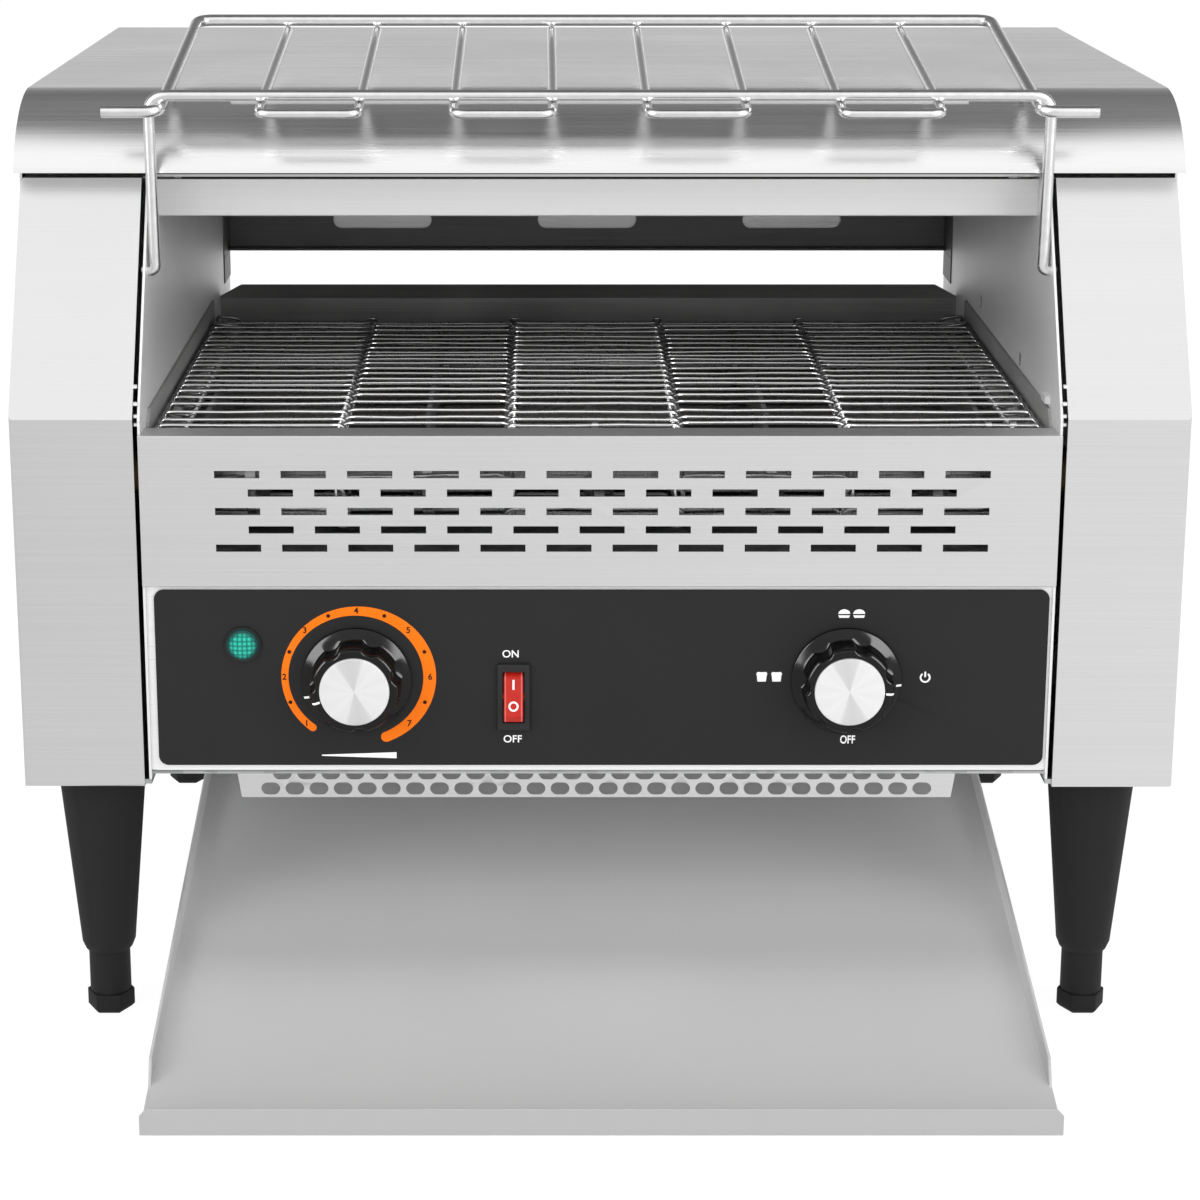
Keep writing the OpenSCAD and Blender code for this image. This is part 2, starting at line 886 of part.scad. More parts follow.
// the outline of a chain loop around both chain wheels, grown by the given amount
module chain_loop(grow) {
    a = asin((drive_chain_r - motor_chain_r) / (shaft_z - motor_z));
    r1 = drive_chain_r + grow;
    r2 = motor_chain_r + grow;
    translate([drive_y, shaft_z])
        circle(r = r1, $fn = 96);
    translate([motor_y, motor_z])
        circle(r = r2, $fn = 96);
    polygon([
        [drive_y + r1 * cos(a), shaft_z - r1 * sin(a)],
        [drive_y - r1 * cos(a), shaft_z - r1 * sin(a)],
        [motor_y - r2 * cos(a), motor_z - r2 * sin(a)],
        [motor_y + r2 * cos(a), motor_z - r2 * sin(a)]]);
}

module drive_chain() {
    color("#5c5c5c")
        placed()
            difference() {
                prism_x(chain_x, chain_x + chain_w - 1)
                    chain_loop(4.2);
                prism_x(chain_x - 1, chain_x + chain_w)
                    chain_loop(clear_gap);
            }
}

module motor_bracket() {
    color("#8a8a8a")
        placed()
            difference() {
                union() {
                    slab(bracket_x, gearbox_x, motor_y - 34, motor_y + 34, base_top, motor_z + 36);
                    slab(gearbox_x, gearbox_x + 18, motor_y - 34, motor_y + 34,
                        base_top, base_top + base_t);
                }
                bar_x(bracket_x - 1, gearbox_x + 1, motor_y, motor_z, motor_shaft_d + running_play);
            }
}

// gearbox with its motor in front
module gear_motor() {
    box_half = 26;
    can_front = motor_y - box_half - 60;
    can_z = motor_z + 12;
    color("#787878")
        placed()
            difference() {
                union() {
                    slab(gearbox_x, gearbox_x + gearbox_w, motor_y - box_half, motor_y + box_half,
                        motor_z - box_half, motor_z + box_half + 8);
                    bar_y(gearbox_x + gearbox_w / 2, can_front, motor_y - box_half, can_z, gearbox_w);
                    bar_y(gearbox_x + gearbox_w / 2, can_front - 6, can_front, can_z, 10);
                }
                bar_x(gearbox_x - 1, gearbox_x + 12, motor_y, motor_z, motor_shaft_d + running_play);
            }
}

module motor_output_shaft() {
    color("#8f8f8f")
        placed()
            bar_x(chain_x - 3, gearbox_x + 11, motor_y, motor_z, motor_shaft_d);
}

fan_pin_d = 3;
fan_bore_r = fan_size / 2 - 2;

module cooling_fan_frame() {
    color("#2c2c2c")
        placed()
            translate([fan_x, fan_y, fan_z])
                rotate([0, 90, 0])
                    union() {
                        difference() {
                            translate([-fan_size / 2, -fan_size / 2, 0])
                                cube([fan_size, fan_size, fan_depth]);
                            translate([0, 0, -1])
                                cylinder(r = fan_bore_r, h = fan_depth + 2, $fn = 96);
                        }
                        difference() {
                            translate([0, 0, fan_depth - 3])
                                cylinder(r = 12, h = 3, $fn = 48);
                            translate([0, 0, fan_depth - 4])
                                cylinder(d = fan_pin_d + running_play, h = 3, $fn = 32);
                        }
                        for (i = [0:3])
                            rotate([0, 0, 45 + i * 90])
                                translate([11, -1.5, fan_depth - 3])
                                    cube([fan_bore_r - 10.5, 3, 3]);
                    }
}

module cooling_fan_rotor() {
    color("#202020")
        placed()
            translate([fan_x, fan_y, fan_z])
                rotate([0, 90, 0])
                    union() {
                        translate([0, 0, 4])
                            cylinder(r = 11, h = 15, $fn = 48);
                        translate([0, 0, 18])
                            cylinder(d = fan_pin_d, h = fan_depth - 19.4, $fn = 32);
                        for (i = [0:6])
                            rotate([0, 0, i * 360 / 7])
                                translate([10, 0, 11.5])
                                    rotate([35, 0, 0])
                                        translate([0, -7, -0.7])
                                            cube([fan_bore_r - 12, 14, 1.4]);
                    }
}

// Tray and rack

// height of the tray floor's upper face at a distance behind the column fronts
function tray_z(y) = 2 + (y + tray_front) * tan(tray_slope);

module toast_tray() {
    t = 1.2;
    lip = 9;
    lip_front = -60;
    color("#b9b9b9")
        placed()
            union() {
                prism_x(-tray_half_w, tray_half_w)
                    polygon([
                        [-tray_front, tray_z(-tray_front)],
                        [tray_back, tray_z(tray_back)],
                        [tray_back, tray_z(tray_back) - t],
                        [-tray_front, tray_z(-tray_front) - t]]);
                translate([0, -tray_front + t, 0])
                    rotate([90, 0, 0])
                        linear_extrude(t)
                            polygon([[-tray_half_w, 0.6], [tray_half_w, 0.6], [tray_half_w, 8.6],
                                [tray_half_w - 3, 11.8], [-tray_half_w + 3, 11.8], [-tray_half_w, 8.6]]);
                for (x = [-tray_half_w, tray_half_w - t])
                    prism_x(x, x + t)
                        polygon([
                            [lip_front, tray_z(lip_front) - t / 2],
                            [lip_front + 5, tray_z(lip_front + 5) + lip],
                            [tray_back, tray_z(tray_back) + lip],
                            [tray_back, tray_z(tray_back) - t / 2]]);
                for (x = [-tray_half_w, tray_half_w - 40])
                    slab(x, x + 40, tray_back - t, tray_back, 0.6, tray_z(tray_back) - 0.7 * t);
            }
}

// angle strips under the cabinet that keep the tray in the middle
module tray_guides() {
    guide_front = 150;
    guide_back = 280;
    guide_low = tray_z(guide_back) - 5;
    color("#8c8c8c")
        placed()
            for (side = [-1, 1])
                on_side(side) {
                    slab(tray_half_w + clear_gap + 0.1, tray_half_w + 2, guide_front, guide_back,
                        guide_low, body_z);
                    slab(tray_half_w + 2, column_in + 10, guide_front, guide_back, body_z - 1.5, body_z);
                }
}

// bent wire that carries the rack, with its ends through the cheeks
module rack_bail() {
    d = bail_wire_d;
    color("#bdbdbd")
        placed()
            union() {
                bar_x(-bail_half_w, bail_half_w, crossbar_y, crossbar_z, d);
                for (side = [-1, 1]) {
                    knuckle([side * bail_half_w, crossbar_y, crossbar_z], d);
                    wire([side * bail_half_w, crossbar_y, crossbar_z],
                        [side * bail_half_w, bail_y, bail_z], d);
                    knuckle([side * bail_half_w, bail_y, bail_z], d);
                    on_side(side) {
                        bar_x(bail_half_w, cheek_x + 3.6, bail_y, bail_z, d);
                        bar_x(cheek_x + 0.5, cheek_x + 1.6, bail_y, bail_z, d + 2.4);
                    }
                }
            }
}

// outer frame of the rack: two side bars, a rear bar and the two stop stubs
module rack_frame() {
    d = frame_wire_d;
    color("#bdbdbd")
        placed()
            union() {
                bar_x(-frame_half_w, frame_half_w, frame_back_y, frame_back_z, d);
                for (side = [-1, 1]) {
                    front = [side * frame_half_w, frame_front_y, frame_front_z];
                    back = [side * frame_half_w, frame_back_y, frame_back_z];
                    knuckle(back, d);
                    wire(front, back, d);
                    knuckle(front, d);
                    on_side(side)
                        bar_x(frame_half_w, stub_x, frame_front_y, frame_front_z, d);
                }
            }
}

// four U-shaped wires that the bread slides on, with their cross wire
module rack_slats() {
    d = slat_wire_d;
    color("#bdbdbd")
        placed()
            union() {
                for (i = [-1.5:1:1.5]) {
                    for (side = [-1, 1]) {
                        x = i * slat_pitch + side * slat_half_w;
                        wire([x, slat_front_y, slat_front_z], [x, frame_back_y, slat_back_z], d);
                        knuckle([x, slat_front_y, slat_front_z], d);
                    }
                    bar_x(i * slat_pitch - slat_half_w, i * slat_pitch + slat_half_w, slat_front_y,
                        slat_front_z, d);
                }
                bar_x(-cross_half_w, cross_half_w, cross_y,
                    slat_front_z + (cross_y - slat_front_y) * slat_rise + 0.8, cross_wire_d);
            }
}

// Controls

// bevelled skirt, scalloped grip and the room for the bushing; a lobe lies at the pointer's angle
module knob(x, pointer) {
    skirt_t = 1.4;
    scallops = 7;
    scallop_r = 5;
    scallop_depth = 1.7;
    grip_back = knob_back - 3.4;
    grip_face = knob_face + cap_t;
    translate([x, 0, knob_z])
        rotate([90, 0, 0])
            difference() {
                union() {
                    translate([0, 0, -knob_back])
                        cylinder(d = knob_skirt_d, h = skirt_t, $fn = 96);
                    translate([0, 0, -knob_back + skirt_t])
                        cylinder(d1 = knob_skirt_d, d2 = knob_grip_d + 2, h = 2, $fn = 96);
                    translate([0, 0, -grip_back])
                        cylinder(d = knob_grip_d, h = grip_back - grip_face - 1.6, $fn = 96);
                    translate([0, 0, -grip_face - 1.6])
                        cylinder(d1 = knob_grip_d, d2 = knob_grip_d - 4, h = 1.6, $fn = 96);
                }
                for (i = [0:scallops - 1])
                    rotate([0, 0, pointer + (i + 0.5) * 360 / scallops])
                        translate([knob_grip_d / 2 - scallop_depth + scallop_r, 0, -grip_back + 0.4])
                            cylinder(r = scallop_r, h = 20, $fn = 48);
                translate([0, 0, -knob_back - 1])
                    cylinder(d = bushing_d + 4, h = 5, $fn = 48);
                translate([0, 0, -knob_back - 1])
                    cylinder(d = pot_shaft_d, h = 9.5, $fn = 48);
            }
}

module knob_cap(x) {
    translate([x, knob_face + cap_t, knob_z])
        rotate([90, 0, 0])
            cylinder(d = knob_cap_d, h = cap_t, $fn = 96);
}

// square case with a round bushing in front, and the bore for the shaft
module control_body(x, case_w, case_h, case_depth) {
    difference() {
        union() {
            slab(x - case_w / 2, x + case_w / 2, panel_y + sheet, panel_y + sheet + case_depth,
                knob_z - case_h / 2, knob_z + case_h / 2);
            bar_y(x, knob_back - 3.2, panel_y + sheet, knob_z, bushing_d);
        }
        bar_y(x, knob_back - 4, panel_y + sheet + case_depth - 3, knob_z, pot_shaft_d + running_play);
    }
}

module speed_knob() {
    color("#161616")
        placed()
            union() {
                knob(speed_knob_x, speed_pointer);
                bar_y(speed_knob_x, knob_back - 8.5, panel_y + 10, knob_z, pot_shaft_d);
            }
}

module mode_knob() {
    color("#161616")
        placed()
            union() {
                knob(mode_knob_x, mode_pointer);
                bar_y(mode_knob_x, knob_back - 8.5, panel_y + 10, knob_z, pot_shaft_d);
            }
}

module speed_knob_cap() {
    color("#d8d8d8")
        placed()
            knob_cap(speed_knob_x);
}

module mode_knob_cap() {
    color("#d8d8d8")
        placed()
            knob_cap(mode_knob_x);
}

module speed_control_pot() {
    color("#4d5a4f")
        placed()
            control_body(speed_knob_x, 24, 28, 14);
}

module mode_switch_body() {
    color("#d9d2c0")
        placed()
            control_body(mode_knob_x, 34, 36, 30);
}

rocker_bezel_w = 12.9;
rocker_bezel_h = 28;
rocker_body_w = 11.8;
rocker_body_h = 26.8;
rocker_open_w = 8.8;
rocker_open_h = 21.8;
rocker_pin_d = 2.6;
rocker_pin_half = 5.1;

module rocker_housing() {
    color("#181818")
        placed()
            difference() {
                union() {
                    slab(rocker_x - rocker_bezel_w / 2, rocker_x + rocker_bezel_w / 2,
                        fascia_y - 1.6, fascia_y,
                        rocker_z - rocker_bezel_h / 2, rocker_z + rocker_bezel_h / 2);
                    slab(rocker_x - rocker_body_w / 2, rocker_x + rocker_body_w / 2, fascia_y, 20,
                        rocker_z - rocker_body_h / 2, rocker_z + rocker_body_h / 2);
                }
                slab(rocker_x - rocker_open_w / 2, rocker_x + rocker_open_w / 2, fascia_y - 3, 12,
                    rocker_z - rocker_open_h / 2, rocker_z + rocker_open_h / 2);
                bar_x(rocker_x - rocker_pin_half - 0.2, rocker_x + rocker_pin_half + 0.2,
                    rocker_pivot_y, rocker_z, rocker_pin_d + running_play);
            }
}

// rocker drawn in its on position, with the upper half pushed in
module rocker_button() {
    w = rocker_open_w - 2 * clear_gap - 0.2;
    color("#c8281c")
        placed()
            translate([rocker_x, rocker_pivot_y, rocker_z])
                rotate([rocker_rest, 0, 0])
                    union() {
                        prism_x(-w / 2, w / 2)
                            polygon([[-2.2, 10.2], [-4.1, 7.7], [-2.9, 0], [-4.1, -7.7], [-2.2, -10.2],
                                [1.5, -10.2], [5.5, -6], [5.5, 6], [1.5, 10.2]]);
                        bar_x(-rocker_pin_half, rocker_pin_half, 0, 0, rocker_pin_d);
                    }
}

module lamp_bezel() {
    color("#20302c")
        placed()
            difference() {
                union() {
                    bar_y(lamp_x, fascia_y - 1, fascia_y, lamp_z, 14.4);
                    bar_y(lamp_x, fascia_y, 24, lamp_z, 12);
                }
                bar_y(lamp_x, fascia_y - 2, 8, lamp_z, 10);
                bar_y(lamp_x, fascia_y - 2, fascia_y - 0.3, lamp_z, 13);
            }
}

// low domed lens with its stem
module lamp_lens() {
    dome_r = 14;
    rim_y = fascia_y - 1.4;
    dome_h = 1.6;
    color("#1c7a66")
        placed()
            union() {
                bar_y(lamp_x, fascia_y - 0.3, 8, lamp_z, 10);
                bar_y(lamp_x, rim_y, fascia_y - 0.3, lamp_z, 13);
                intersection() {
                    translate([lamp_x, rim_y - dome_h + dome_r, lamp_z])
                        sphere(r = dome_r, $fn = 96);
                    bar_y(lamp_x, rim_y - 3, rim_y + 0.2, lamp_z, 12.6);
                }
            }
}

module terminal_block() {
    terminal_x = cheek_x + 6.8;
    terminal_y = 120;
    color("#dcd6c4")
        placed()
            difference() {
                slab(terminal_x, terminal_x + 34, terminal_y, terminal_y + 14, base_top, base_top + 16);
                for (i = [0:3])
                    bar_z(terminal_x + 5 + i * 8, terminal_y + 7, base_top + 8, base_top + 17, 4);
            }
}

// strain-relief gland under the right housing
module cable_gland() {
    color("#1c1c1c")
        placed()
            difference() {
                union() {
                    bar_z(leg_x, gland_y, body_z - 14, body_z - 6, 14);
                    translate([leg_x, gland_y, body_z - 6])
                        cylinder(d = 22, h = 6, $fn = 6);
                    bar_z(leg_x, gland_y, body_z, base_top + 2, 16);
                    translate([leg_x, gland_y, base_top])
                        cylinder(d = 24, h = 5, $fn = 6);
                }
                bar_z(leg_x, gland_y, body_z - 15, base_top + 6, gland_d);
            }
}

// Legs

module leg_sleeves() {
    color("#1b1b1b")
        placed()
            for (side = [-1, 1])
                for (y = [leg_front_y, leg_back_y])
                    difference() {
                        translate([side * leg_x, y, 0])
                            union() {
                                translate([0, 0, sleeve_end_z])
                                    cylinder(d1 = foot_d + 2.4, d2 = leg_low_d,
                                        h = sleeve_low_z - sleeve_end_z, $fn = 64);
                                translate([0, 0, sleeve_low_z])
                                    cylinder(d1 = leg_low_d, d2 = leg_top_d,
                                        h = body_z - sleeve_low_z, $fn = 64);
                                translate([0, 0, body_z])
                                    cylinder(d = stud_d, h = stud_top - body_z, $fn = 48);
                            }
                        bar_z(side * leg_x, y, sleeve_end_z - 1, 90, foot_d + running_play);
                    }
}

// screw-in foot: a plain shank over a hex end with a chamfered sole
module foot(x, y) {
    hex_d = foot_d / cos(30);
    chamfer = 1.4;
    shank_h = 61;
    color("#1b1b1b")
        placed()
            translate([x, y, 0])
                union() {
                    cylinder(d1 = hex_d - 2 * chamfer, d2 = hex_d, h = chamfer, $fn = 6);
                    translate([0, 0, chamfer])
                        cylinder(d = hex_d, h = hex_top_z - chamfer - 0.6, $fn = 6);
                    translate([0, 0, hex_top_z - 0.6])
                        cylinder(d = foot_d - 1, h = 0.6, $fn = 64);
                    translate([0, 0, hex_top_z])
                        cylinder(d = foot_d, h = shank_h, $fn = 64);
                }
}

module front_left_foot() {
    foot(-leg_x, leg_front_y);
}

module front_right_foot() {
    foot(leg_x, leg_front_y);
}

module rear_left_foot() {
    foot(-leg_x, leg_back_y);
}

module rear_right_foot() {
    foot(leg_x, leg_back_y);
}

left_side_cover();
right_side_cover();
cheek_plates();
base_plates();
top_hood();
hood_front_rail();
rear_upper_panel();
rear_lower_panel();
front_vent_panel();
control_panel();
control_fascia();
control_box_floor();
heat_deck();
perforated_guard();
rear_deflector();
reflectors();
heater_tubes();
heater_end_caps();
belt_upper_run();
belt_lower_run();
belt_turns();
belt_support_rails();
belt_edge_guards();
idler_shaft();
idler_sprockets();
drive_shaft();
drive_sprockets();
shaft_bearings();
shaft_chain_sprocket();
motor_chain_sprocket();
drive_chain();
gear_motor();
motor_output_shaft();
motor_bracket();
cooling_fan_frame();
cooling_fan_rotor();
toast_tray();
tray_guides();
rack_bail();
rack_frame();
rack_slats();
speed_knob();
speed_knob_cap();
speed_control_pot();
mode_knob();
mode_knob_cap();
mode_switch_body();
rocker_housing();
rocker_button();
lamp_bezel();
lamp_lens();
terminal_block();
cable_gland();
leg_sleeves();
front_left_foot();
front_right_foot();
rear_left_foot();
rear_right_foot();
cover_screws();
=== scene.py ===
# %% [markdown]
# # A counter-top conveyor toaster
#
# The solids of the toaster are already modelled. This notebook dresses them: it softens the folds of
# the sheet metal, bends the wire belt and the loading rack, moulds the knobs, prints the panel, and
# gives every piece a procedural finish.

# %% Load the solids
import json
import math
import random

import bmesh
import bpy
from mathutils import Matrix, Vector


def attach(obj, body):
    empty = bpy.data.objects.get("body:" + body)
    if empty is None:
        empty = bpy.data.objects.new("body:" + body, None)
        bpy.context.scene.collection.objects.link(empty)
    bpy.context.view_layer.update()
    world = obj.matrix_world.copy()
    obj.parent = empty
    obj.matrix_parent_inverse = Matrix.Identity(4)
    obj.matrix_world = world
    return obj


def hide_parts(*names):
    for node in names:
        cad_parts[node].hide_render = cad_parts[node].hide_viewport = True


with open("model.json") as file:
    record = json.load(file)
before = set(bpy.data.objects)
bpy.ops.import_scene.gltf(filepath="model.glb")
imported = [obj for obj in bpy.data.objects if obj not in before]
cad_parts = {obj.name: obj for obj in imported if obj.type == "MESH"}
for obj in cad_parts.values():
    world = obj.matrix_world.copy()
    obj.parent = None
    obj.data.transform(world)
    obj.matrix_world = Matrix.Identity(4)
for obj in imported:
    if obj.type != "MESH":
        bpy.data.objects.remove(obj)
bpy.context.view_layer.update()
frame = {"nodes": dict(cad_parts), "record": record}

# %% [markdown]
# ## The camera
#
# A product photographer stands well back, raises the camera and tips it down. The more it tips, the
# more upright edges lean, so the last part of the way the lens is slid down instead. Blender's camera
# does the same with a negative vertical shift. Lengths here are in millimetres: X from the middle, Y
# back from the column fronts, Z up from the counter.

# %% Place the camera
MM = 0.001
COLUMN_FRONT = 123.0  # how far the column fronts lie in front of the solids' origin


def spot(x, y, z):
    """A point given from the middle, the column fronts and the counter, in metres."""
    return Vector((x, y - COLUMN_FRONT, z)) * MM


camera_data = bpy.data.cameras.new("studio_camera")
camera_data.lens = 83.38
camera_data.sensor_width = 36.0
camera_data.shift_x = 0.0492
camera_data.shift_y = -0.15
camera = bpy.data.objects.new("studio_camera", camera_data)
camera.location = spot(-23.4, -1067.2, 523.4)
camera.rotation_euler = (math.radians(90 - 13.61), 0, 0)
bpy.context.scene.collection.objects.link(camera)
bpy.context.scene.camera = camera
bpy.context.scene.view_settings.view_transform = "Standard"
print("camera at", [round(c, 3) for c in camera.location])

# %% [markdown]
# ## Shader maths
#
# Metal, plastic and print are all described with shader nodes. Wiring them by hand is slow, so a
# small class wraps a socket and lets Python's own operators add the Math nodes. A second class
# holds a node tree and has a single method that adds any other node. A third is one material.

# %% Sockets that can be added and multiplied


def operator(operation, reflected=False):
    """A method that adds a Math node, with the other value first if reflected."""
    def method(self, other):
        first, second = (other, self) if reflected else (self, other)
        return self.graph.node("ShaderNodeMath", {0: first, 1: second}, operation=operation)
    return method


class Value:
    """An output socket that Python's operators can do maths with."""

    def __init__(self, graph, socket):
        self.graph = graph
        self.socket = socket

    __add__, __radd__ = operator("ADD"), operator("ADD", reflected=True)
    __sub__, __rsub__ = operator("SUBTRACT"), operator("SUBTRACT", reflected=True)
    __mul__, __rmul__ = operator("MULTIPLY"), operator("MULTIPLY", reflected=True)


class Graph:
    """A node tree, with one method that adds any node."""

    def __init__(self, tree):
        self.tree = tree

    def node(self, kind, sockets=None, output=0, **settings):
        made = self.tree.nodes.new(kind)
        for key, value in settings.items():
            if key == "stops":
                ramp = made.color_ramp
                while len(ramp.elements) < len(value):
                    ramp.elements.new(1.0)
                for element, (place, level) in zip(ramp.elements, value):
                    element.position = place
                    element.color = (level, level, level, 1.0)
            else:
                setattr(made, key, value)
        for key, value in (sockets or {}).items():
            if isinstance(value, Value):
                self.tree.links.new(value.socket, made.inputs[key])
            elif made.inputs[key].type == "RGBA":
                made.inputs[key].default_value = (*value, 1.0)
            else:
                made.inputs[key].default_value = value
        return Value(self, made.outputs[output]) if made.outputs else None

    def between(self, mask, low, high):
        """A colour between two others, by a mask from 0 to 1."""
        return self.node("ShaderNodeMix", {0: mask, 6: low, 7: high}, output=2, data_type="RGBA")

    def coordinate(self, vector, axis):
        """One coordinate of a vector: X is 0, Y is 1 and Z is 2."""
        return self.node("ShaderNodeSeparateXYZ", {0: vector}, output=axis)

    def mapped(self, value, low, high, start=0.0, end=1.0):
        """A value carried from one range into another, and held at its ends."""
        return self.node("ShaderNodeMapRange", {0: value, 1: low, 2: high, 3: start, 4: end})

    def of_one(self, operation, value):
        """Maths on one value, such as SINE."""
        return self.node("ShaderNodeMath", {0: value}, operation=operation)

    def ramp(self, mask, stops):
        """A grey that follows the mask through (place, level) stops."""
        return self.node("ShaderNodeValToRGB", {0: mask}, stops=stops)


class Finish(Graph):
    """One material: a Principled shader and the nodes that feed it."""

    def __init__(self, name, constants):
        self.material = bpy.data.materials.new(name)
        self.material.use_nodes = True
        super().__init__(self.material.node_tree)
        self.shader = self.tree.nodes["Principled BSDF"]
        self.coords = None
        for socket, value in constants.items():
            self.shader.inputs[socket].default_value = value

    def place(self):
        """The object's own coordinates, in metres."""
        if self.coords is None:
            self.coords = self.node("ShaderNodeTexCoord", output=3)
        return self.coords

    def stretched(self, scale, centre=(0.0, 0.0, 0.0)):
        """Object coordinates stretched along the axes, from a centre."""
        moved = [-c * s for c, s in zip(centre, scale)]
        sockets = {"Vector": self.place(), "Scale": scale, "Location": moved}
        return self.node("ShaderNodeMapping", sockets)

    def from_axis(self, x, z):
        """How far across, up and in all from an axis that runs front to back."""
        place = self.stretched((1.0, 1.0, 1.0), spot(x, 0, z))
        across, up = self.coordinate(place, 0), self.coordinate(place, 2)
        return across, up, self.of_one("SQRT", across * across + up * up)

    def noise(self, scale, detail=2.0, roughness=0.5, vector=None):
        """Noise over the object. A scale for each axis gives it a grain."""
        if isinstance(scale, tuple):
            vector, scale = self.stretched(scale), 1.0
        return self.node("ShaderNodeTexNoise", {"Vector": vector or self.place(), "Scale": scale,
                                                "Detail": detail, "Roughness": roughness})

    def feed(self, socket, value):
        self.tree.links.new(value.socket, self.shader.inputs[socket])

    def surface(self, tone, roughness, height=None, relief=0.0):
        """Feeds colour, roughness and a very small relief in metres. Gives the material."""
        self.feed("Base Color", tone)
        self.feed("Roughness", roughness)
        if height:
            self.feed("Normal", self.node("ShaderNodeBump", {"Height": height, "Distance": relief}))
        return self.material


def grey(level, warmth=0.0):
    """A neutral colour from an sRGB level, a touch warm or cool."""
    linear = ((level + 0.055) / 1.055) ** 2.4 if level > 0.04045 else level / 12.92
    return (linear * (1 + warmth), linear, linear * (1 - warmth))


print("shader helpers ready")

# %% [markdown]
# ## The studio
#
# A plain white counter and a white surround. Stainless steel shows what it faces, so the studio also
# has a soft shape of its own: the space behind and above the camera is bright, and a band high at
# the back is darker, as a studio's far wall is. The world's own gradient gives it, and camera rays
# see plain white. Two small cards are for the knobs and the bright wire alone, which need a thin
# highlight that the sheets would only smear.

# %% Build the surround
world = bpy.data.worlds.new("studio")
bpy.context.scene.world = world
world.use_nodes = True
world.node_tree.nodes.clear()
surround = Graph(world.node_tree)
look = surround.node("ShaderNodeTexCoord")
upwards = surround.coordinate(look, 2) * 0.5 + 0.5
back_tone = surround.ramp(upwards, [(0.0, 0.82), (0.50, 0.82), (0.585, 0.70), (0.64, 0.30), (0.76, 0.12),
                                    (0.93, 0.20), (1.0, 0.10)])
front_tone = surround.ramp(upwards, [(0.0, 0.70), (0.34, 0.72), (0.50, 0.68), (0.60, 0.80), (0.80, 0.98),
                                     (0.935, 1.0), (0.967, 0.10)])
behind = surround.mapped(surround.coordinate(look, 1), -0.06, 0.06)
either = surround.node("ShaderNodeMix", {0: behind, 2: front_tone, 3: back_tone}, data_type="FLOAT")
SURROUND_LEVEL, EVEN_LIGHT = 1.2, 0.62  # what steel mirrors, and what matt surfaces gather
mirrored = either * SURROUND_LEVEL
camera_ray = surround.node("ShaderNodeLightPath")
diffuse_ray = surround.node("ShaderNodeLightPath", output=2)
seen = surround.between(camera_ray, mirrored, (1.0, 1.0, 1.0))
ambient = surround.between(diffuse_ray, seen, (EVEN_LIGHT,) * 3)
glow = surround.node("ShaderNodeBackground", {"Color": ambient, "Strength": 1.0})
surround.node("ShaderNodeOutputWorld", {0: glow})


def softbox(name, where, aim, size, power, only_for=None):
    """A lamp out of reflections. With only_for, it shows in the gloss of those pieces alone."""
    lamp = bpy.data.lights.new(name, "AREA")
    lamp.shape = "RECTANGLE"
    lamp.size, lamp.size_y = size
    lamp.energy = power
    made = bpy.data.objects.new(name, lamp)
    made.location = spot(*where)
    made.rotation_euler = (spot(*aim) - spot(*where)).to_track_quat("-Z", "Y").to_euler()
    made.visible_glossy = only_for is not None
    made.visible_diffuse = only_for is None
    if only_for:
        made.light_linking.receiver_collection = only_for
    bpy.context.scene.collection.objects.link(made)


softbox("softbox_top", (0, 100, 1900), (0, 120, 200), (1.6, 1.2), 22)
softbox("softbox_left", (-1500, -1300, 1100), (0, 100, 200), (1.0, 1.4), 17)
softbox("softbox_right", (1500, -1300, 1000), (0, 100, 200), (1.0, 1.4), 13)
glossy_pieces = bpy.data.collections.new("glossy_pieces")
softbox("card_left", (-1250, -950, 640), (0, 0, 150), (0.7, 0.9), 24, only_for=glossy_pieces)
softbox("card_right", (1150, -1050, 680), (0, 0, 150), (0.7, 0.9), 24, only_for=glossy_pieces)

FLOOR_HALF, FLOOR_GAP = 6.0, 0.0002  # the counter lies a hair below the feet
floor_mesh = bmesh.new()
bmesh.ops.create_grid(floor_mesh, x_segments=1, y_segments=1, size=FLOOR_HALF,
                      matrix=Matrix.Translation((0, 0, -FLOOR_GAP)))
floor_data = bpy.data.meshes.new("counter")
floor_mesh.to_mesh(floor_data)
floor_mesh.free()
counter = bpy.data.objects.new("counter", floor_data)
bpy.context.scene.collection.objects.link(counter)
white = Finish("white_counter", {"Base Color": (0.95, 0.95, 0.95, 1.0), "Roughness": 0.8,
                                 "Specular IOR Level": 0.1})
camera_ray = white.node("ShaderNodeLightPath")
glossy_ray = white.node("ShaderNodeLightPath", output=3)
shown = white.node("ShaderNodeMath", {0: camera_ray, 1: glossy_ray}, operation="MAXIMUM") * 0.9
lit_side = white.mapped(white.coordinate(white.place(), 0), -0.45, 0.35, 0.66, 0.90)
strength = white.node("ShaderNodeMix", {0: camera_ray, 2: lit_side, 3: 1.06}, data_type="FLOAT")
glow = white.node("ShaderNodeEmission", {"Strength": strength})
mixed = white.node("ShaderNodeMixShader", {0: shown, 1: Value(white, white.shader.outputs[0]), 2: glow})
white.tree.links.new(mixed.socket, white.tree.nodes["Material Output"].inputs[0])
floor_data.materials.append(white.material)
print("studio ready")

# %% [markdown]
# ## Brushed and plain steel
#
# The covers are stainless sheet with a grain: thousands of fine scratches in one direction, made
# with a belt before the sheet is folded. Noise that is stretched a few hundred times along the
# grain gives the scratches, and a second, broad noise gives the faint clouds that handling leaves.
# The scratches feed colour, roughness and a very small bump.

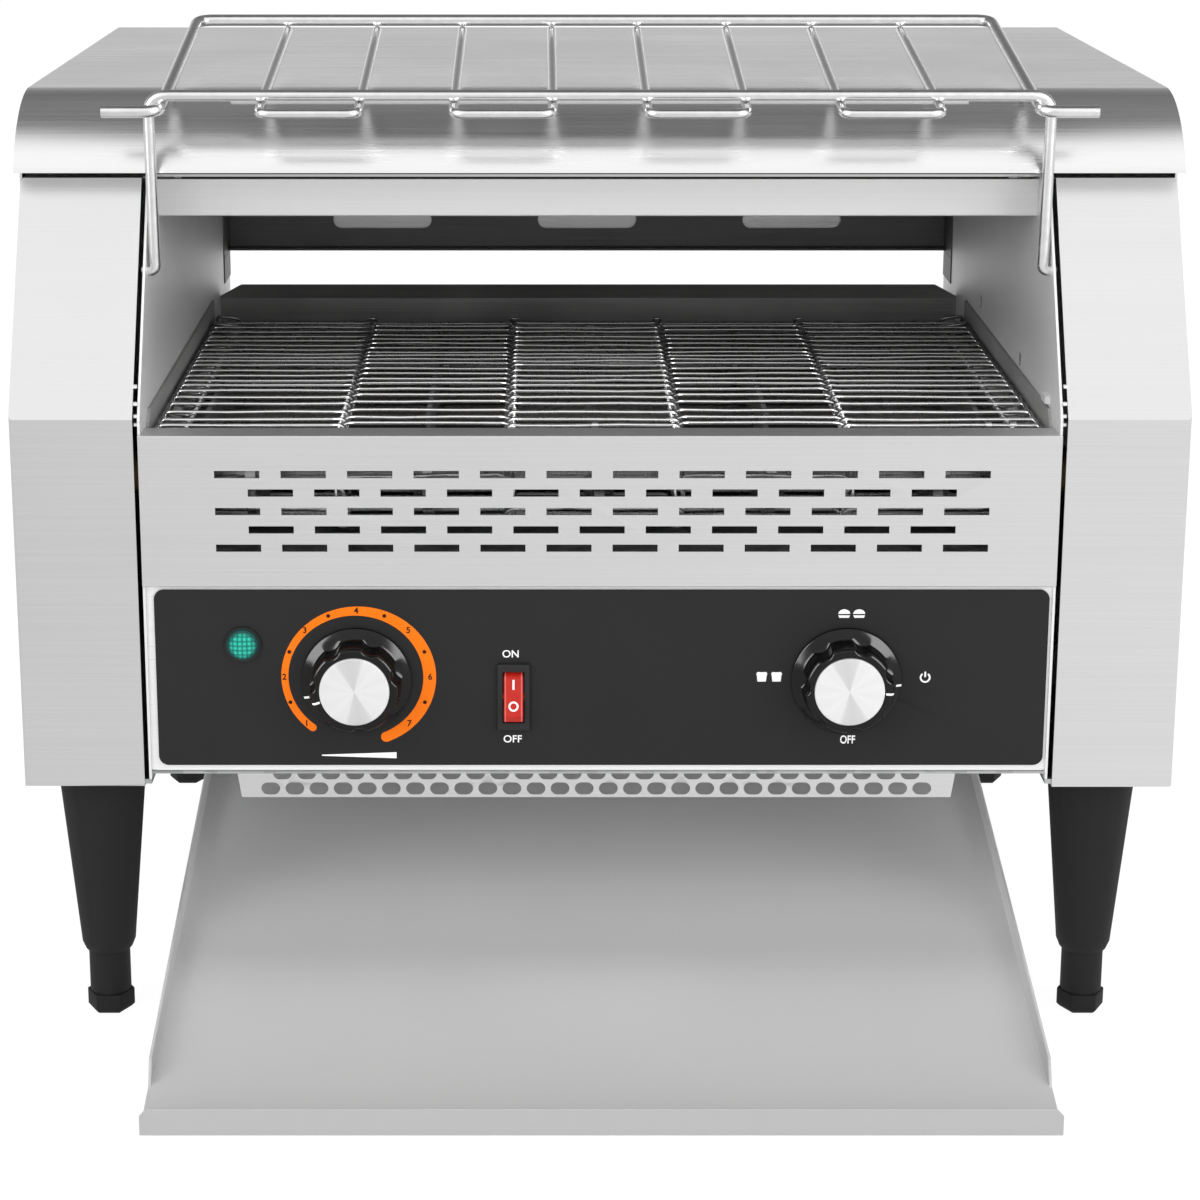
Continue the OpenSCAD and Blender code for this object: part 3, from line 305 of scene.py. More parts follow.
# %% Steel finishes
GRAIN_FINE, GRAIN_LONG = 1400.0, 6.0  # across and along the grain
BAND_FINE, BAND_LONG = 60.0, 2.5
LIP_SHADE_SPAN = (-0.05, -0.218)  # Y of the tray, from the back of the painted shade's span to the lip
WIRE_SHADE_SPAN = (-0.07, 0.06)  # Y of the belt, over which a painted shade deepens towards the back


def brushed_steel(name, level, roughness, along="X", streak=0.10, cloud=0.05, scratch=0.00002, metallic=1.0,
                  lip_shade=0.0):
    """Steel with a grain, and optionally a painted shade: a darker band towards its front, short of the
    lip, where the floor meets the up-turned lip.
    """
    finish = Finish(name, {"Metallic": metallic})

    def lengthwise(across, lengthways):
        return tuple(lengthways if axis == along else across for axis in "XYZ")

    fine = finish.noise(lengthwise(GRAIN_FINE, GRAIN_LONG), 3.0, 0.65)
    bands = finish.noise(lengthwise(BAND_FINE, BAND_LONG))
    clouds = finish.noise(14.0)
    mask = (fine - 0.5) * streak * 4.0 + (bands - 0.5) * streak + (clouds - 0.5) * cloud * 2.0 + 0.5
    tone = finish.between(mask, grey(level * 0.90), grey(min(level * 1.08, 0.99)))
    if lip_shade:
        # A painted shade: a band just short of the front lip is darkened.
        forward = finish.mapped(finish.coordinate(finish.place(), 1), *LIP_SHADE_SPAN)
        lip_shade_mask = finish.ramp(forward, [(0.0, 0.0), (0.90, lip_shade), (0.955, lip_shade), (0.975, 0.0)])
        tone = finish.between(lip_shade_mask, tone, grey(level * 0.6))
    return finish.surface(tone, (fine - 0.5) * 0.25 + (clouds - 0.5) * 0.08 + roughness, fine, scratch)


cover_steel = brushed_steel("cover_brushed_steel", 0.89, 0.34)
hood_steel = brushed_steel("hood_brushed_steel", 0.94, 0.30, streak=0.07, scratch=0.00001)
vent_steel = brushed_steel("vent_brushed_steel", 0.86, 0.33, metallic=0.85)
panel_steel = brushed_steel("panel_brushed_steel", 0.95, 0.33, metallic=0.35)
cheek_steel = brushed_steel("cheek_steel", 1.0, 0.50, "Z", streak=0.12, cloud=0.14, metallic=0.6)
# The tray gets a painted shade behind its lip.
tray_steel = brushed_steel("tray_satin_steel", 0.98, 0.55, "Y", streak=0.05, cloud=0.08, metallic=0.30,
                           lip_shade=0.72)
guard_steel = brushed_steel("guard_steel", 0.90, 0.33)
rail_steel = brushed_steel("rail_brushed_steel", 0.93, 0.36, metallic=0.55)
reflector_steel = brushed_steel("reflector_steel", 0.82, 0.25, streak=0.12, cloud=0.15)
print("steel finishes:", len(bpy.data.materials) - 1)

# %% [markdown]
# Hidden brackets and floors are zinc-plated sheet, which has a crystalline spangle. A Voronoi
# pattern gives each crystal its own shade. Parts near the heaters are dark: they are painted, or
# blued by heat.

# %% Plated, dark and turned metal


def plated_sheet(name):
    finish = Finish(name, {"Metallic": 1.0})
    crystals = finish.node("ShaderNodeTexVoronoi", {"Vector": finish.place(), "Scale": 130.0}, output=1)
    shade = finish.node("ShaderNodeSeparateColor", {0: crystals})
    clouds = finish.noise(20.0)
    tone = finish.between(shade * 0.7 + clouds * 0.3, grey(0.66, -0.02), grey(0.82, -0.01))
    return finish.surface(tone, shade * 0.15 + 0.32)


def dark_sheet(name, level, roughness):
    finish = Finish(name, {"Metallic": 0.6})
    clouds = finish.noise(18.0, 4.0)
    grain = finish.noise((10.0, 900.0, 900.0))
    tone = finish.between(clouds * 0.6 + grain * 0.4, grey(level * 0.7), grey(level * 1.3, 0.01))
    return finish.surface(tone, (clouds - 0.5) * 0.2 + roughness, grain, 0.00002)


def turned_steel(name, level, roughness):
    finish = Finish(name, {"Metallic": 1.0})
    rings = finish.noise((2200.0, 40.0, 40.0))
    tone = finish.between(rings, grey(level * 0.85), grey(level * 1.08))
    return finish.surface(tone, (rings - 0.5) * 0.2 + roughness, rings, 0.00001)


def bright_wire(name, level, roughness, back_shade=0.0):
    """Drawn wire, and optionally a painted shade that darkens it towards the back."""
    finish = Finish(name, {"Metallic": 1.0})
    drawn = finish.noise(260.0, 3.0)
    heat = finish.noise(9.0)
    tone = finish.between(drawn, grey(level * 0.94), grey(level * 1.02))
    # A painted shade: the wire darkens by its Y, deeper towards the back, on top of a little random heat
    # tint from the noise.
    back_shade_mask = finish.mapped(finish.coordinate(finish.place(), 1), *WIRE_SHADE_SPAN, 0.0, back_shade)
    tone = finish.between(heat * 0.12 + back_shade_mask, tone, grey(level * 0.5, 0.03))
    return finish.surface(tone, (drawn - 0.5) * 0.08 + roughness, drawn, 0.000003)


plated = plated_sheet("plated_sheet")
dark_steel = dark_sheet("dark_heat_plate", 0.42, 0.45)
guard_strip = dark_sheet("edge_guard_strip", 0.62, 0.5)
deflector_dark = dark_sheet("deflector_plate", 0.56, 0.45)
turned = turned_steel("turned_steel", 0.72, 0.3)
chain_steel = turned_steel("chain_steel", 0.5, 0.45)
# The belt's wires get the painted shade towards the back.
belt_wire_finish = bright_wire("belt_wire", 0.97, 0.28, 0.7)
rack_wire_finish = bright_wire("rack_wire", 0.92, 0.24)
print("metal finishes ready")

# %% [markdown]
# ## Plastics, ceramic and print
#
# The knobs are glossy phenolic, the fascia a satin printed overlay, the legs a matt black moulding.
# Real plastic is never one flat tone: the gloss varies where it was touched, and a moulded surface
# has a fine orange peel. The rocker and the lamp are clear tinted plastic; the light through them
# is not traced but painted in, as a faint glow of their own colour.

# %% Plastic finishes


def plastic(name, colour, roughness, peel=0.00002, peel_scale=900.0, variation=0.12, shine=0.5):
    finish = Finish(name, {"Metallic": 0.0, "Specular IOR Level": shine})
    skin = finish.noise(peel_scale)
    handling = finish.noise(30.0, 3.0)
    dark = tuple(c * (1 - variation) for c in colour)
    light = tuple(min(c * (1 + variation), 1.0) for c in colour)
    tone = finish.between(handling * 0.7 + skin * 0.3, dark, light)
    return finish.surface(tone, (handling - 0.5) * 0.10 + (skin - 0.5) * 0.06 + roughness, skin, peel)


fascia_black = plastic("fascia_overlay", grey(0.155), 0.60, peel=0.00001, peel_scale=2500.0, shine=0.15)
knob_black = plastic("knob_phenolic", grey(0.04), 0.16, peel=0.000004, shine=0.28)
switch_black = plastic("switch_nylon", grey(0.13), 0.42, shine=0.35)
leg_black = plastic("leg_black", grey(0.125), 0.68, peel=0.00003, peel_scale=1500.0, shine=0.22)
cream = plastic("switch_thermoset", grey(0.86, 0.06), 0.5)
ceramic = plastic("ceramic_collar", grey(0.92, 0.03), 0.75, peel=0.00005)
motor_grey = plastic("motor_enamel", grey(0.42, -0.03), 0.38, peel=0.00004)
fan_black = plastic("fan_moulding", grey(0.13), 0.5)
orange_print = plastic("orange_print", (0.95, 0.19, 0.008), 0.6, variation=0.03, shine=0.1)
white_print = plastic("white_print", grey(0.97), 0.5, variation=0.02)
dark_print = plastic("dark_print", (0.035, 0.012, 0.008), 0.6, variation=0.1, shine=0.1)
print("plastic finishes ready")

# %% Finishes of single pieces, some centred on theirs
ROCKER, LAMP = (-34.5, 149.5), (-143.6, 171.8)
KNOBS = {"speed": (-98.0, 156.5), "mode": (100.0, 156.5)}
HALF_ROCKER = 0.004  # its face's half width, in metres
LENS_PITCH, LENS_RIM = 1.9, (0.0042, 0.0056)
LENS_GRID = math.pi / (LENS_PITCH * MM)


def rocker_finish():
    """Clear red plastic, with a painted highlight along its two long edges and a faint painted glow."""
    finish = Finish("rocker_red", {"Metallic": 0.0, "Emission Strength": 0.12, "Specular IOR Level": 0.4})
    clouds = finish.noise(300.0)
    shade = finish.between(clouds, (0.36, 0.009, 0.005), (0.50, 0.020, 0.009))
    # A painted highlight: a lighter band along each long edge of the face.
    off_middle = finish.of_one("ABSOLUTE", finish.from_axis(*ROCKER)[0]) * (1 / HALF_ROCKER)
    edge = finish.ramp(off_middle, [(0.0, 0.0), (0.73, 0.0), (0.79, 0.75), (0.85, 0.75), (0.90, 0.0)])
    shade = finish.between(edge, shade, (0.62, 0.15, 0.13))
    # The colour is also fed to emission: a painted glow.
    finish.feed("Emission Color", shade)
    return finish.surface(shade, (clouds - 0.5) * 0.06 + 0.2)


def lens_finish():
    """Tinted plastic, darker towards its rim, with a bright grid of painted light for light through its
    cast pyramids. The same colour feeds emission as a painted glow.
    """
    finish = Finish("lamp_green", {"Metallic": 0.0, "Emission Strength": 0.12, "Specular IOR Level": 0.35})
    across, up, radius = finish.from_axis(*LAMP)
    rim = finish.mapped(radius, *LENS_RIM)
    cast = finish.noise(700.0)
    waves = finish.of_one("SINE", across * LENS_GRID) * finish.of_one("SINE", up * LENS_GRID)
    facets = finish.of_one("ABSOLUTE", waves)
    # Painted light: the grid is brighter over each pyramid of the cast lens.
    lit = finish.between(facets + (cast - 0.5) * 0.4, (0.0, 0.13, 0.10), (0.02, 0.52, 0.38))
    shade = finish.between(rim, lit, (0.0, 0.045, 0.04))
    # A painted glow: the colour is also fed to emission.
    finish.feed("Emission Color", shade)
    return finish.surface(shade, (cast - 0.5) * 0.1 + 0.16)


rocker_red, lamp_green = rocker_finish(), lens_finish()

bush = Finish("sintered_bronze", {"Metallic": 1.0})
pores = bush.noise(1200.0, 3.0)
tone = bush.between(pores, (0.30, 0.19, 0.07), (0.52, 0.36, 0.16))
bronze = bush.surface(tone, pores * 0.3 + 0.3, pores, 0.00002)

sheath = Finish("heater_sheath", {"Metallic": 0.8})
bands = sheath.noise((25.0, 5.0, 5.0), 3.0)
oxide = sheath.noise(400.0, 3.0)
tone = sheath.between(bands, (0.055, 0.050, 0.046), (0.14, 0.125, 0.115))
heater_brown = sheath.surface(tone, oxide * 0.3 + 0.45, oxide, 0.00003)


def spun_finish(name, x, z):
    """Aluminium turned on a lathe: fine rings, with two darker rays from the middle and a faint tenfold fan
    painted in as the reflection a spun disc shows.
    """
    finish = Finish(name, {"Metallic": 0.7})
    across, up, radius = finish.from_axis(x, z)
    rings = finish.noise(1.0, vector=finish.node("ShaderNodeCombineXYZ", {0: radius * 9000.0}))
    angle = finish.node("ShaderNodeMath", {0: up, 1: across}, operation="ARCTAN2")
    # A painted reflection: two darker rays from the middle, and a faint tenfold fan.
    beside_painted_rays = finish.mapped(finish.of_one("SINE", angle * 2.0 + 1.26), -0.80, -0.58, 0.0, 0.8)
    mask = beside_painted_rays + finish.of_one("SINE", angle * 10.0) * 0.07 + (rings - 0.5) * 0.3 + 0.12
    tone = finish.between(mask, grey(0.84), grey(0.95))
    return finish.surface(tone, (rings - 0.5) * 0.12 + 0.34, rings, 0.000012)


cap_finish = {knob: spun_finish(f"{knob}_cap_aluminium", *place) for knob, place in KNOBS.items()}
print("all finishes:", len(bpy.data.materials))

# %% [markdown]
# ## Dressing the solids
#
# Every solid first gets the finish of its material, and a few have one of their own. Most of the
# small inside pieces keep their solid as it is. The larger sheets are dressed below.

# %% Give each solid its finish
finish_of_slot = {
    "belt_wire": belt_wire_finish, "bronze": bronze, "ceramic": ceramic, "cover_steel": cover_steel,
    "dark_steel": dark_steel, "fan_black": fan_black, "fascia_black": fascia_black,
    "heater_sheath": heater_brown, "hood_steel": hood_steel, "inner_steel": cheek_steel,
    "knob_black": knob_black, "lamp_green": lamp_green, "leg_black": leg_black, "motor_grey": motor_grey,
    "panel_steel": panel_steel, "plated_sheet": plated, "rack_wire": rack_wire_finish,
    "rocker_red": rocker_red, "screw_steel": turned, "shaft_steel": turned,
    "spun_aluminium": cap_finish["speed"], "switch_black": switch_black, "switch_cream": cream,
    "tray_steel": tray_steel,
}
own_finish = {
    "rear_deflector": deflector_dark, "belt_edge_guards": guard_strip, "reflectors": reflector_steel,
    "hood_front_rail": rail_steel, "front_vent_panel": vent_steel, "rear_lower_panel": vent_steel,
    "perforated_guard": guard_steel, "mode_knob_cap": cap_finish["mode"], "drive_chain": chain_steel,
    "shaft_chain_sprocket": chain_steel, "motor_chain_sprocket": chain_steel,
}
slot_of = {part["node"]: part["material_slot"] for part in frame["record"]["subparts"]}
body_of_node = {n: b for b, ns in frame["record"]["behaviour"]["bodies"].items() for n in ns}
for node, solid in frame["nodes"].items():
    solid.data.materials.clear()
    solid.data.materials.append(own_finish.get(node, finish_of_slot[slot_of[node]]))
print("finished solids:", len(frame["nodes"]), "own finishes:", len(own_finish))

# %% [markdown]
# ## Soft folds and edges
#
# A pressed sheet has no razor edges: a fold has a radius of about the sheet's thickness, and a cut
# edge is deburred. A copy of the solid is merged, its flat faces joined again, and its edges
# bevelled: the long folds wide, the cut edges narrow. Their thin highlights make it look like metal.

# %% Soften one solid


def new_piece(name, mesh, body, finish, nodes=()):
    """Puts a finished bmesh into the scene, riding on a body."""
    data = bpy.data.meshes.new(name)
    mesh.to_mesh(data)
    mesh.free()
    data.materials.append(finish)
    piece = bpy.data.objects.new(name, data)
    bpy.context.scene.collection.objects.link(piece)
    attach(piece, body)
    if nodes:
        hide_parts(*nodes)


def smooth_by_angle(mesh, degrees, flat_area=1.0):
    """Shades small faces as one curve and keeps large flat ones flat."""
    limit = math.radians(degrees)
    for face in mesh.faces:
        face.smooth = face.calc_area() < flat_area
    for edge in mesh.edges:
        edge.smooth = not (len(edge.link_faces) == 2 and edge.calc_face_angle(0.0) > limit)


def joined(meshes):
    """Several meshes as one."""
    whole = bmesh.new()
    for mesh in meshes:
        data = bpy.data.meshes.new("joined")
        mesh.to_mesh(data)
        mesh.free()
        whole.from_mesh(data)
        bpy.data.meshes.remove(data)
    return whole


CM2 = 0.0001
SHARP = 26.0  # degrees


def soften(node, edge_width, fold_width=0.0, fold_area=0.0, segments=2, flat_area=3 * CM2):
    """A copy of a solid with bevelled edges, standing for it."""
    mesh = bmesh.new()
    mesh.from_mesh(frame["nodes"][node].data)
    bmesh.ops.remove_doubles(mesh, verts=mesh.verts, dist=0.00001)
    bmesh.ops.dissolve_limit(mesh, angle_limit=math.radians(0.6), verts=mesh.verts, edges=mesh.edges)

    def bevel(edges, width):
        if edges:
            bmesh.ops.bevel(mesh, geom=edges, offset=width * MM, offset_type="OFFSET", segments=segments,
                            profile=0.5, affect="EDGES", material=-1, clamp_overlap=True)

    def sharp_edges():
        return [e for e in mesh.edges if len(e.link_faces) == 2
                and e.calc_face_angle(0.0) > math.radians(SHARP)]

    if fold_width:
        bevel([e for e in sharp_edges()
               if e.is_convex and min(f.calc_area() for f in e.link_faces) > fold_area], fold_width)
    bevel(sharp_edges(), edge_width)
    smooth_by_angle(mesh, SHARP + 4, flat_area)
    finish = frame["nodes"][node].data.materials[0]
    print(node, "softened:", len(mesh.faces), "faces")
    new_piece(node + "_sheet", mesh, body_of_node[node], finish, [node])


# %% Soften the sheets
FEET = [f"{end}_{side}_foot" for end in ("front", "rear") for side in ("left", "right")]
for node in ("left_side_cover", "right_side_cover"):
    soften(node, 0.25, 1.2, 60 * CM2, 3)
soften("top_hood", 0.25, 1.0, 60 * CM2, 3, flat_area=40 * CM2)
for node, edge_width, fold_width, fold_area, segments in (
        ("front_vent_panel", 0.2, 0.9, 2 * CM2, 3), ("control_panel", 0.2, 0.9, 30 * CM2, 3),
        ("hood_front_rail", 0.2, 0.8, 10 * CM2, 3), ("perforated_guard", 0.15, 0.8, 10 * CM2, 2)):
    soften(node, edge_width, fold_width, fold_area, segments)
for node, edge_width in (("toast_tray", 0.3), ("rear_deflector", 0.25), ("control_fascia", 0.15),
                         ("leg_sleeves", 0.4), *[(foot, 0.35) for foot in FEET], ("rocker_housing", 0.5)):
    soften(node, edge_width)
print("sheets softened")

# %% [markdown]
# Two small things stand beside the belt's chamber: a thin dark strip in each back corner, a painted
# shade there, and the bent tabs in the gap between a column and its cheek, which keep the two apart.

# %% Corner strips and gap tabs


def box(x0, x1, y0, y1, z0, z1):
    """A small block between two corners, with soft edges."""
    mesh = bmesh.new()
    middle = Matrix.Translation(spot((x0 + x1) / 2, (y0 + y1) / 2, (z0 + z1) / 2))
    size = Matrix.Diagonal(((x1 - x0) * MM, (y1 - y0) * MM, (z1 - z0) * MM, 1))
    bmesh.ops.create_cube(mesh, size=1.0, matrix=middle @ size)
    bmesh.ops.bevel(mesh, geom=mesh.edges[:], offset=0.1 * MM, offset_type="OFFSET", segments=2,
                    profile=0.5, affect="EDGES", material=-1)
    return mesh


STRIP_SIDES, TAB_SIDES = ((-182.15, -181.6), (181.6, 182.15)), ((-184.6, -182.9), (182.9, 184.6))
# Painted shade: thin dark strips on the cheeks in the back corners.
strips = [box(*sides, 303, 328.6, *heights)
          for heights in ((262, 274.8), (275, 350.5)) for sides in STRIP_SIDES]
new_piece("rear_corner_strips", joined(strips), "cabinet", dark_steel)
tabs = [box(*sides, 1.5, 3.5, z, z + 1.2) for sides in TAB_SIDES for z in (262.0, 265.4, 270.4, 277.4)]
new_piece("cheek_gap_tabs", joined(tabs), "cabinet", cheek_steel)
print("strips:", len(strips), "tabs:", len(tabs))

# %% [markdown]
# ## Bent wire
#
# The loading rack is bent from drawn wire. A bender never leaves a corner: each bend has an inside
# radius of one or two diameters. A path of corner points gets its corners rounded, and a curve with
# a round section turns the path into wire, which is then made a mesh.

# %% Helpers for bent wire


NEARLY_STRAIGHT = math.radians(178)
MOST_OF_A_SIDE = 0.48  # a bend takes up less than half of the straight beside it


def rounded(points, radius, steps=6):
    """The points of an open path, with its corners rounded to a radius."""
    path = [points[0]]
    for previous, corner, following in zip(points, points[1:], points[2:]):
        before, after = previous - corner, following - corner
        angle = before.angle(after)
        if angle > NEARLY_STRAIGHT:
            path.append(corner)
            continue
        room = min(before.length, after.length) * MOST_OF_A_SIDE
        cut = min(radius / math.tan(angle / 2), room)
        start, end = corner + before.normalized() * cut, corner + after.normalized() * cut
        for step in range(steps + 1):
            t = step / steps
            path.append(start * (1 - t) ** 2 + corner * 2 * t * (1 - t) + end * t ** 2)
    return path + [points[-1]]


def curve_through(paths, dimensions):
    """A curve of straight steps through the points of each path."""
    curve = bpy.data.curves.new("path", "CURVE")
    curve.dimensions = dimensions
    for path in paths:
        spline = curve.splines.new("POLY")
        spline.points.add(len(path) - 1)
        for place, point in zip(spline.points, path):
            place.co = Vector(point).to_4d()
    return curve


def mesh_of(curve, merge):
    """A curve made a mesh, with its points that lie closer than merge made one."""
    holder = bpy.data.objects.new("curve", curve)
    data = bpy.data.meshes.new_from_object(holder)
    mesh = bmesh.new()
    mesh.from_mesh(data)
    bpy.data.objects.remove(holder)
    bpy.data.curves.remove(curve)
    bpy.data.meshes.remove(data)
    bmesh.ops.remove_doubles(mesh, verts=mesh.verts, dist=merge)
    return mesh


def wire_mesh(paths, diameter, sides):
    """One mesh of round wires along paths of points."""
    curve = curve_through(paths, "3D")
    curve.bevel_depth = diameter / 2
    curve.bevel_resolution = sides // 2 - 2
    curve.use_fill_caps = True
    mesh = mesh_of(curve, 0.000001)
    bmesh.ops.recalc_face_normals(mesh, faces=mesh.faces)
    smooth_by_angle(mesh, 75.0)
    return mesh


# %% [markdown]
# ## The loading rack
#
# It has a bail whose ends pass through the cheeks, an outer frame whose out-turned stubs are its
# stops, and four U-shaped slat wires with one cross wire.

# %% Bend the rack
BAIL_D, FRAME_D, SLAT_D, CROSS_D = 4.7, 5.0, 4.0, 3.4
FRAME_FRONT, FRAME_BACK = (28.0, 383.5), (162.0, 406.7)
FRAME_RISE = (FRAME_BACK[1] - FRAME_FRONT[1]) / (FRAME_BACK[0] - FRAME_FRONT[0])
CROSSBAR_Y = 33.0
FRAME_SLANT = math.hypot(1, FRAME_RISE)
CROSSBAR_Z = (FRAME_FRONT[1] + (CROSSBAR_Y - FRAME_FRONT[0]) * FRAME_RISE
              + (FRAME_D + BAIL_D) / 2 * FRAME_SLANT)
BAIL_X, BAIL_END, FRAME_X, STUB_X, PIVOT = 179.2, 184.6, 174.3, 197.0, (38.0, 318.0)
SLAT_BACK = (FRAME_BACK[0], FRAME_BACK[1] - (FRAME_D + SLAT_D) / 2)
SLAT_NOSE = 22.0
SLAT_WELD = (CROSSBAR_Y - SLAT_NOSE) / (FRAME_BACK[0] - SLAT_NOSE)
SLAT_UNDER = CROSSBAR_Z - (BAIL_D + SLAT_D) / 2 * FRAME_SLANT
SLAT_FRONT = (SLAT_NOSE, (SLAT_UNDER - SLAT_WELD * SLAT_BACK[1]) / (1 - SLAT_WELD))
SLAT_PITCH, SLAT_HALF, CROSS_Y, CROSS_LIFT, CROSS_HALF = 76.7, 19.6, 40, 0.8, 147


def rack_wire(name, corners, bend, diameter, node):
    """One wire of the rack, from the (X, Y, Z) corners of one half. The other half mirrors them."""
    left = [spot(-x, y, z) for x, y, z in corners]
    right = [spot(x, y, z) for x, y, z in reversed(corners)]
    wire = wire_mesh([rounded(left + right, bend * MM)], diameter * MM, 16)
    new_piece(name, wire, "loading_rack", rack_wire_finish, [node])


rack_wire("rack_bail_wire", [(BAIL_END, *PIVOT), (BAIL_X, *PIVOT), (BAIL_X, CROSSBAR_Y, CROSSBAR_Z)],
          8, BAIL_D, "rack_bail")
rack_wire("rack_frame_wire", [(STUB_X, *FRAME_FRONT), (FRAME_X, *FRAME_FRONT), (FRAME_X, *FRAME_BACK)],
          7, FRAME_D, "rack_frame")

slat_paths = []
for i in (-1.5, -0.5, 0.5, 1.5):
    left, right = i * SLAT_PITCH - SLAT_HALF, i * SLAT_PITCH + SLAT_HALF
    slat_paths.append(rounded([spot(left, *SLAT_BACK), spot(left, *SLAT_FRONT), spot(right, *SLAT_FRONT),
                               spot(right, *SLAT_BACK)], 5 * MM))
slat_rise = (SLAT_BACK[1] - SLAT_FRONT[1]) / (SLAT_BACK[0] - SLAT_FRONT[0])
cross_z = SLAT_FRONT[1] + (CROSS_Y - SLAT_FRONT[0]) * slat_rise + CROSS_LIFT
cross_wire = wire_mesh([[spot(x, CROSS_Y, cross_z) for x in (-CROSS_HALF, CROSS_HALF)]], CROSS_D * MM, 12)
new_piece("rack_slat_wires", joined([wire_mesh(slat_paths, SLAT_D * MM, 12), cross_wire]), "loading_rack",
          rack_wire_finish, ["rack_slats"])
print("rack bent")

# %% [markdown]
# ## The wire belt
#
# The belt is a chain of like wires. Each crosses the width in five sections, steps almost half a
# pitch at each joint, and hooks round the wire before it there. It is laid out flat as a path, and
# put in its place on the loop: top run, turn, bottom run, turn. A worn belt isn't even, so the
# wires are a little bent, and the front of the top run is pulled open.

# %% Lay out the belt
WIRE_D, PITCH, HALF_WIDTH = 1.8, 10.3, 179.0
RUN_PITCHES, SHAFT_Z, FRONT_SHAFT_Y = 20, 236.0, 28.0
JOINTS = (-104.0, -36.0, 32.0, 100.0)
TURN_WIRES, TURN_ANGLE = 6, 30
LOOP_R = PITCH / 2 / math.sin(math.radians(TURN_ANGLE / 2))
BACK_SHAFT_Y = FRONT_SHAFT_Y + RUN_PITCHES * PITCH
BOTTOM_RUN = RUN_PITCHES + TURN_WIRES  # wires before the bottom run
FRONT_TURN = BOTTOM_RUN + RUN_PITCHES
STRANDS = FRONT_TURN + TURN_WIRES
PULLED_WIRES, MOST_PULL, SHOULDER, WIRE_BEND = 14, 11.0, 4.5, 3.2


def strand_place(k):
    """(Y, Z) of a belt wire on the loop."""
    if k <= RUN_PITCHES:
        return FRONT_SHAFT_Y + k * PITCH, SHAFT_Z + LOOP_R
    if k < BOTTOM_RUN:
        turn = math.radians((k - RUN_PITCHES) * TURN_ANGLE)
        return BACK_SHAFT_Y + LOOP_R * math.sin(turn), SHAFT_Z + LOOP_R * math.cos(turn)
    if k <= FRONT_TURN:
        return BACK_SHAFT_Y - (k - BOTTOM_RUN) * PITCH, SHAFT_Z - LOOP_R
    turn = math.radians((k - FRONT_TURN) * TURN_ANGLE)
    return FRONT_SHAFT_Y - LOOP_R * math.sin(turn), SHAFT_Z - LOOP_R * math.cos(turn)


def slack(k):
    """How far a wire of the top run lies behind its even place, in millimetres."""
    if not 1 < k < RUN_PITCHES - 1:
        return 0.0
    along = min((k - 1) / PULLED_WIRES, 1.0)
    return MOST_PULL * math.sin(math.pi * along ** 0.85) + random.Random(100 + k).uniform(-1.5, 1.5)


def strand_path(rough, gap):
    """One wire, flat: X across the belt, Y along it, Z out of it, in millimetres. rough bends it a
    little, and its hooks reach across the gap to the wire before it."""
    step, inner, tip = PITCH * 0.42, HALF_WIDTH - 10.5, 2.2 - gap
    joint = [(-0.7, -0.3, 0.3), (1.7, -2.6, -0.6), (1.5, tip, -1.9), (-1.4, tip, -1.9), (-1.6, -0.8, -1.5),
             (0.1, 1.9, -0.2), (2.3, step - 0.4, 0.1)]
    path = [(-inner + 1.5, 0.8 * step, -1.9), (-inner, tip, -1.7), (-HALF_WIDTH + 0.6, tip - 0.4, -0.8),
            (-HALF_WIDTH, 0, 0)]
    for section, right_end in enumerate(JOINTS + (HALF_WIDTH,)):
        offset = step if section % 2 else 0.0
        left_end = JOINTS[section - 1] if section else -HALF_WIDTH
        start, end = offset + rough(0.7), offset + rough(0.7)
        third = (right_end - left_end) / 3
        path += [(left_end + SHOULDER, start, 0),
                 (left_end + third, start * 0.7 + end * 0.3 + rough(0.4), rough(0.2)),
                 (right_end - third, start * 0.3 + end * 0.7 + rough(0.4), rough(0.2)),
                 (right_end - SHOULDER, end, 0)]
        if right_end < HALF_WIDTH and section % 2:
            path += [(right_end - x, y, z) for x, y, z in reversed(joint)]
        elif right_end < HALF_WIDTH:
            path += [(right_end + x, y, z) for x, y, z in joint]
    path += [(HALF_WIDTH, 0, 0), (HALF_WIDTH - 0.6, tip - 0.4, -0.8), (inner, tip, -1.7),
             (inner - 1.5, 0.8 * step, -1.9)]
    return [Vector(point) for point in path]


def belt_piece(name, wires, node):
    paths = []
    for k in wires:
        chance = random.Random(k)
        (y, z), (next_y, next_z) = strand_place(k), strand_place((k + 1) % STRANDS)
        tilt = Matrix.Rotation(math.atan2(next_z - z, next_y - y), 3, "X")
        gap = PITCH + slack(k) - slack(k - 1)
        flat = rounded(strand_path(lambda most: chance.uniform(-most, most), gap), WIRE_BEND, 4)
        moved = Vector((0, slack(k), 0))
        paths.append([spot(0, y, z) + (tilt @ (point + moved)) * MM for point in flat])
    mesh = wire_mesh(paths, WIRE_D * MM, 8)
    print(name, "wires:", len(paths), "faces:", len(mesh.faces))
    new_piece(name, mesh, "cabinet", belt_wire_finish, [node])


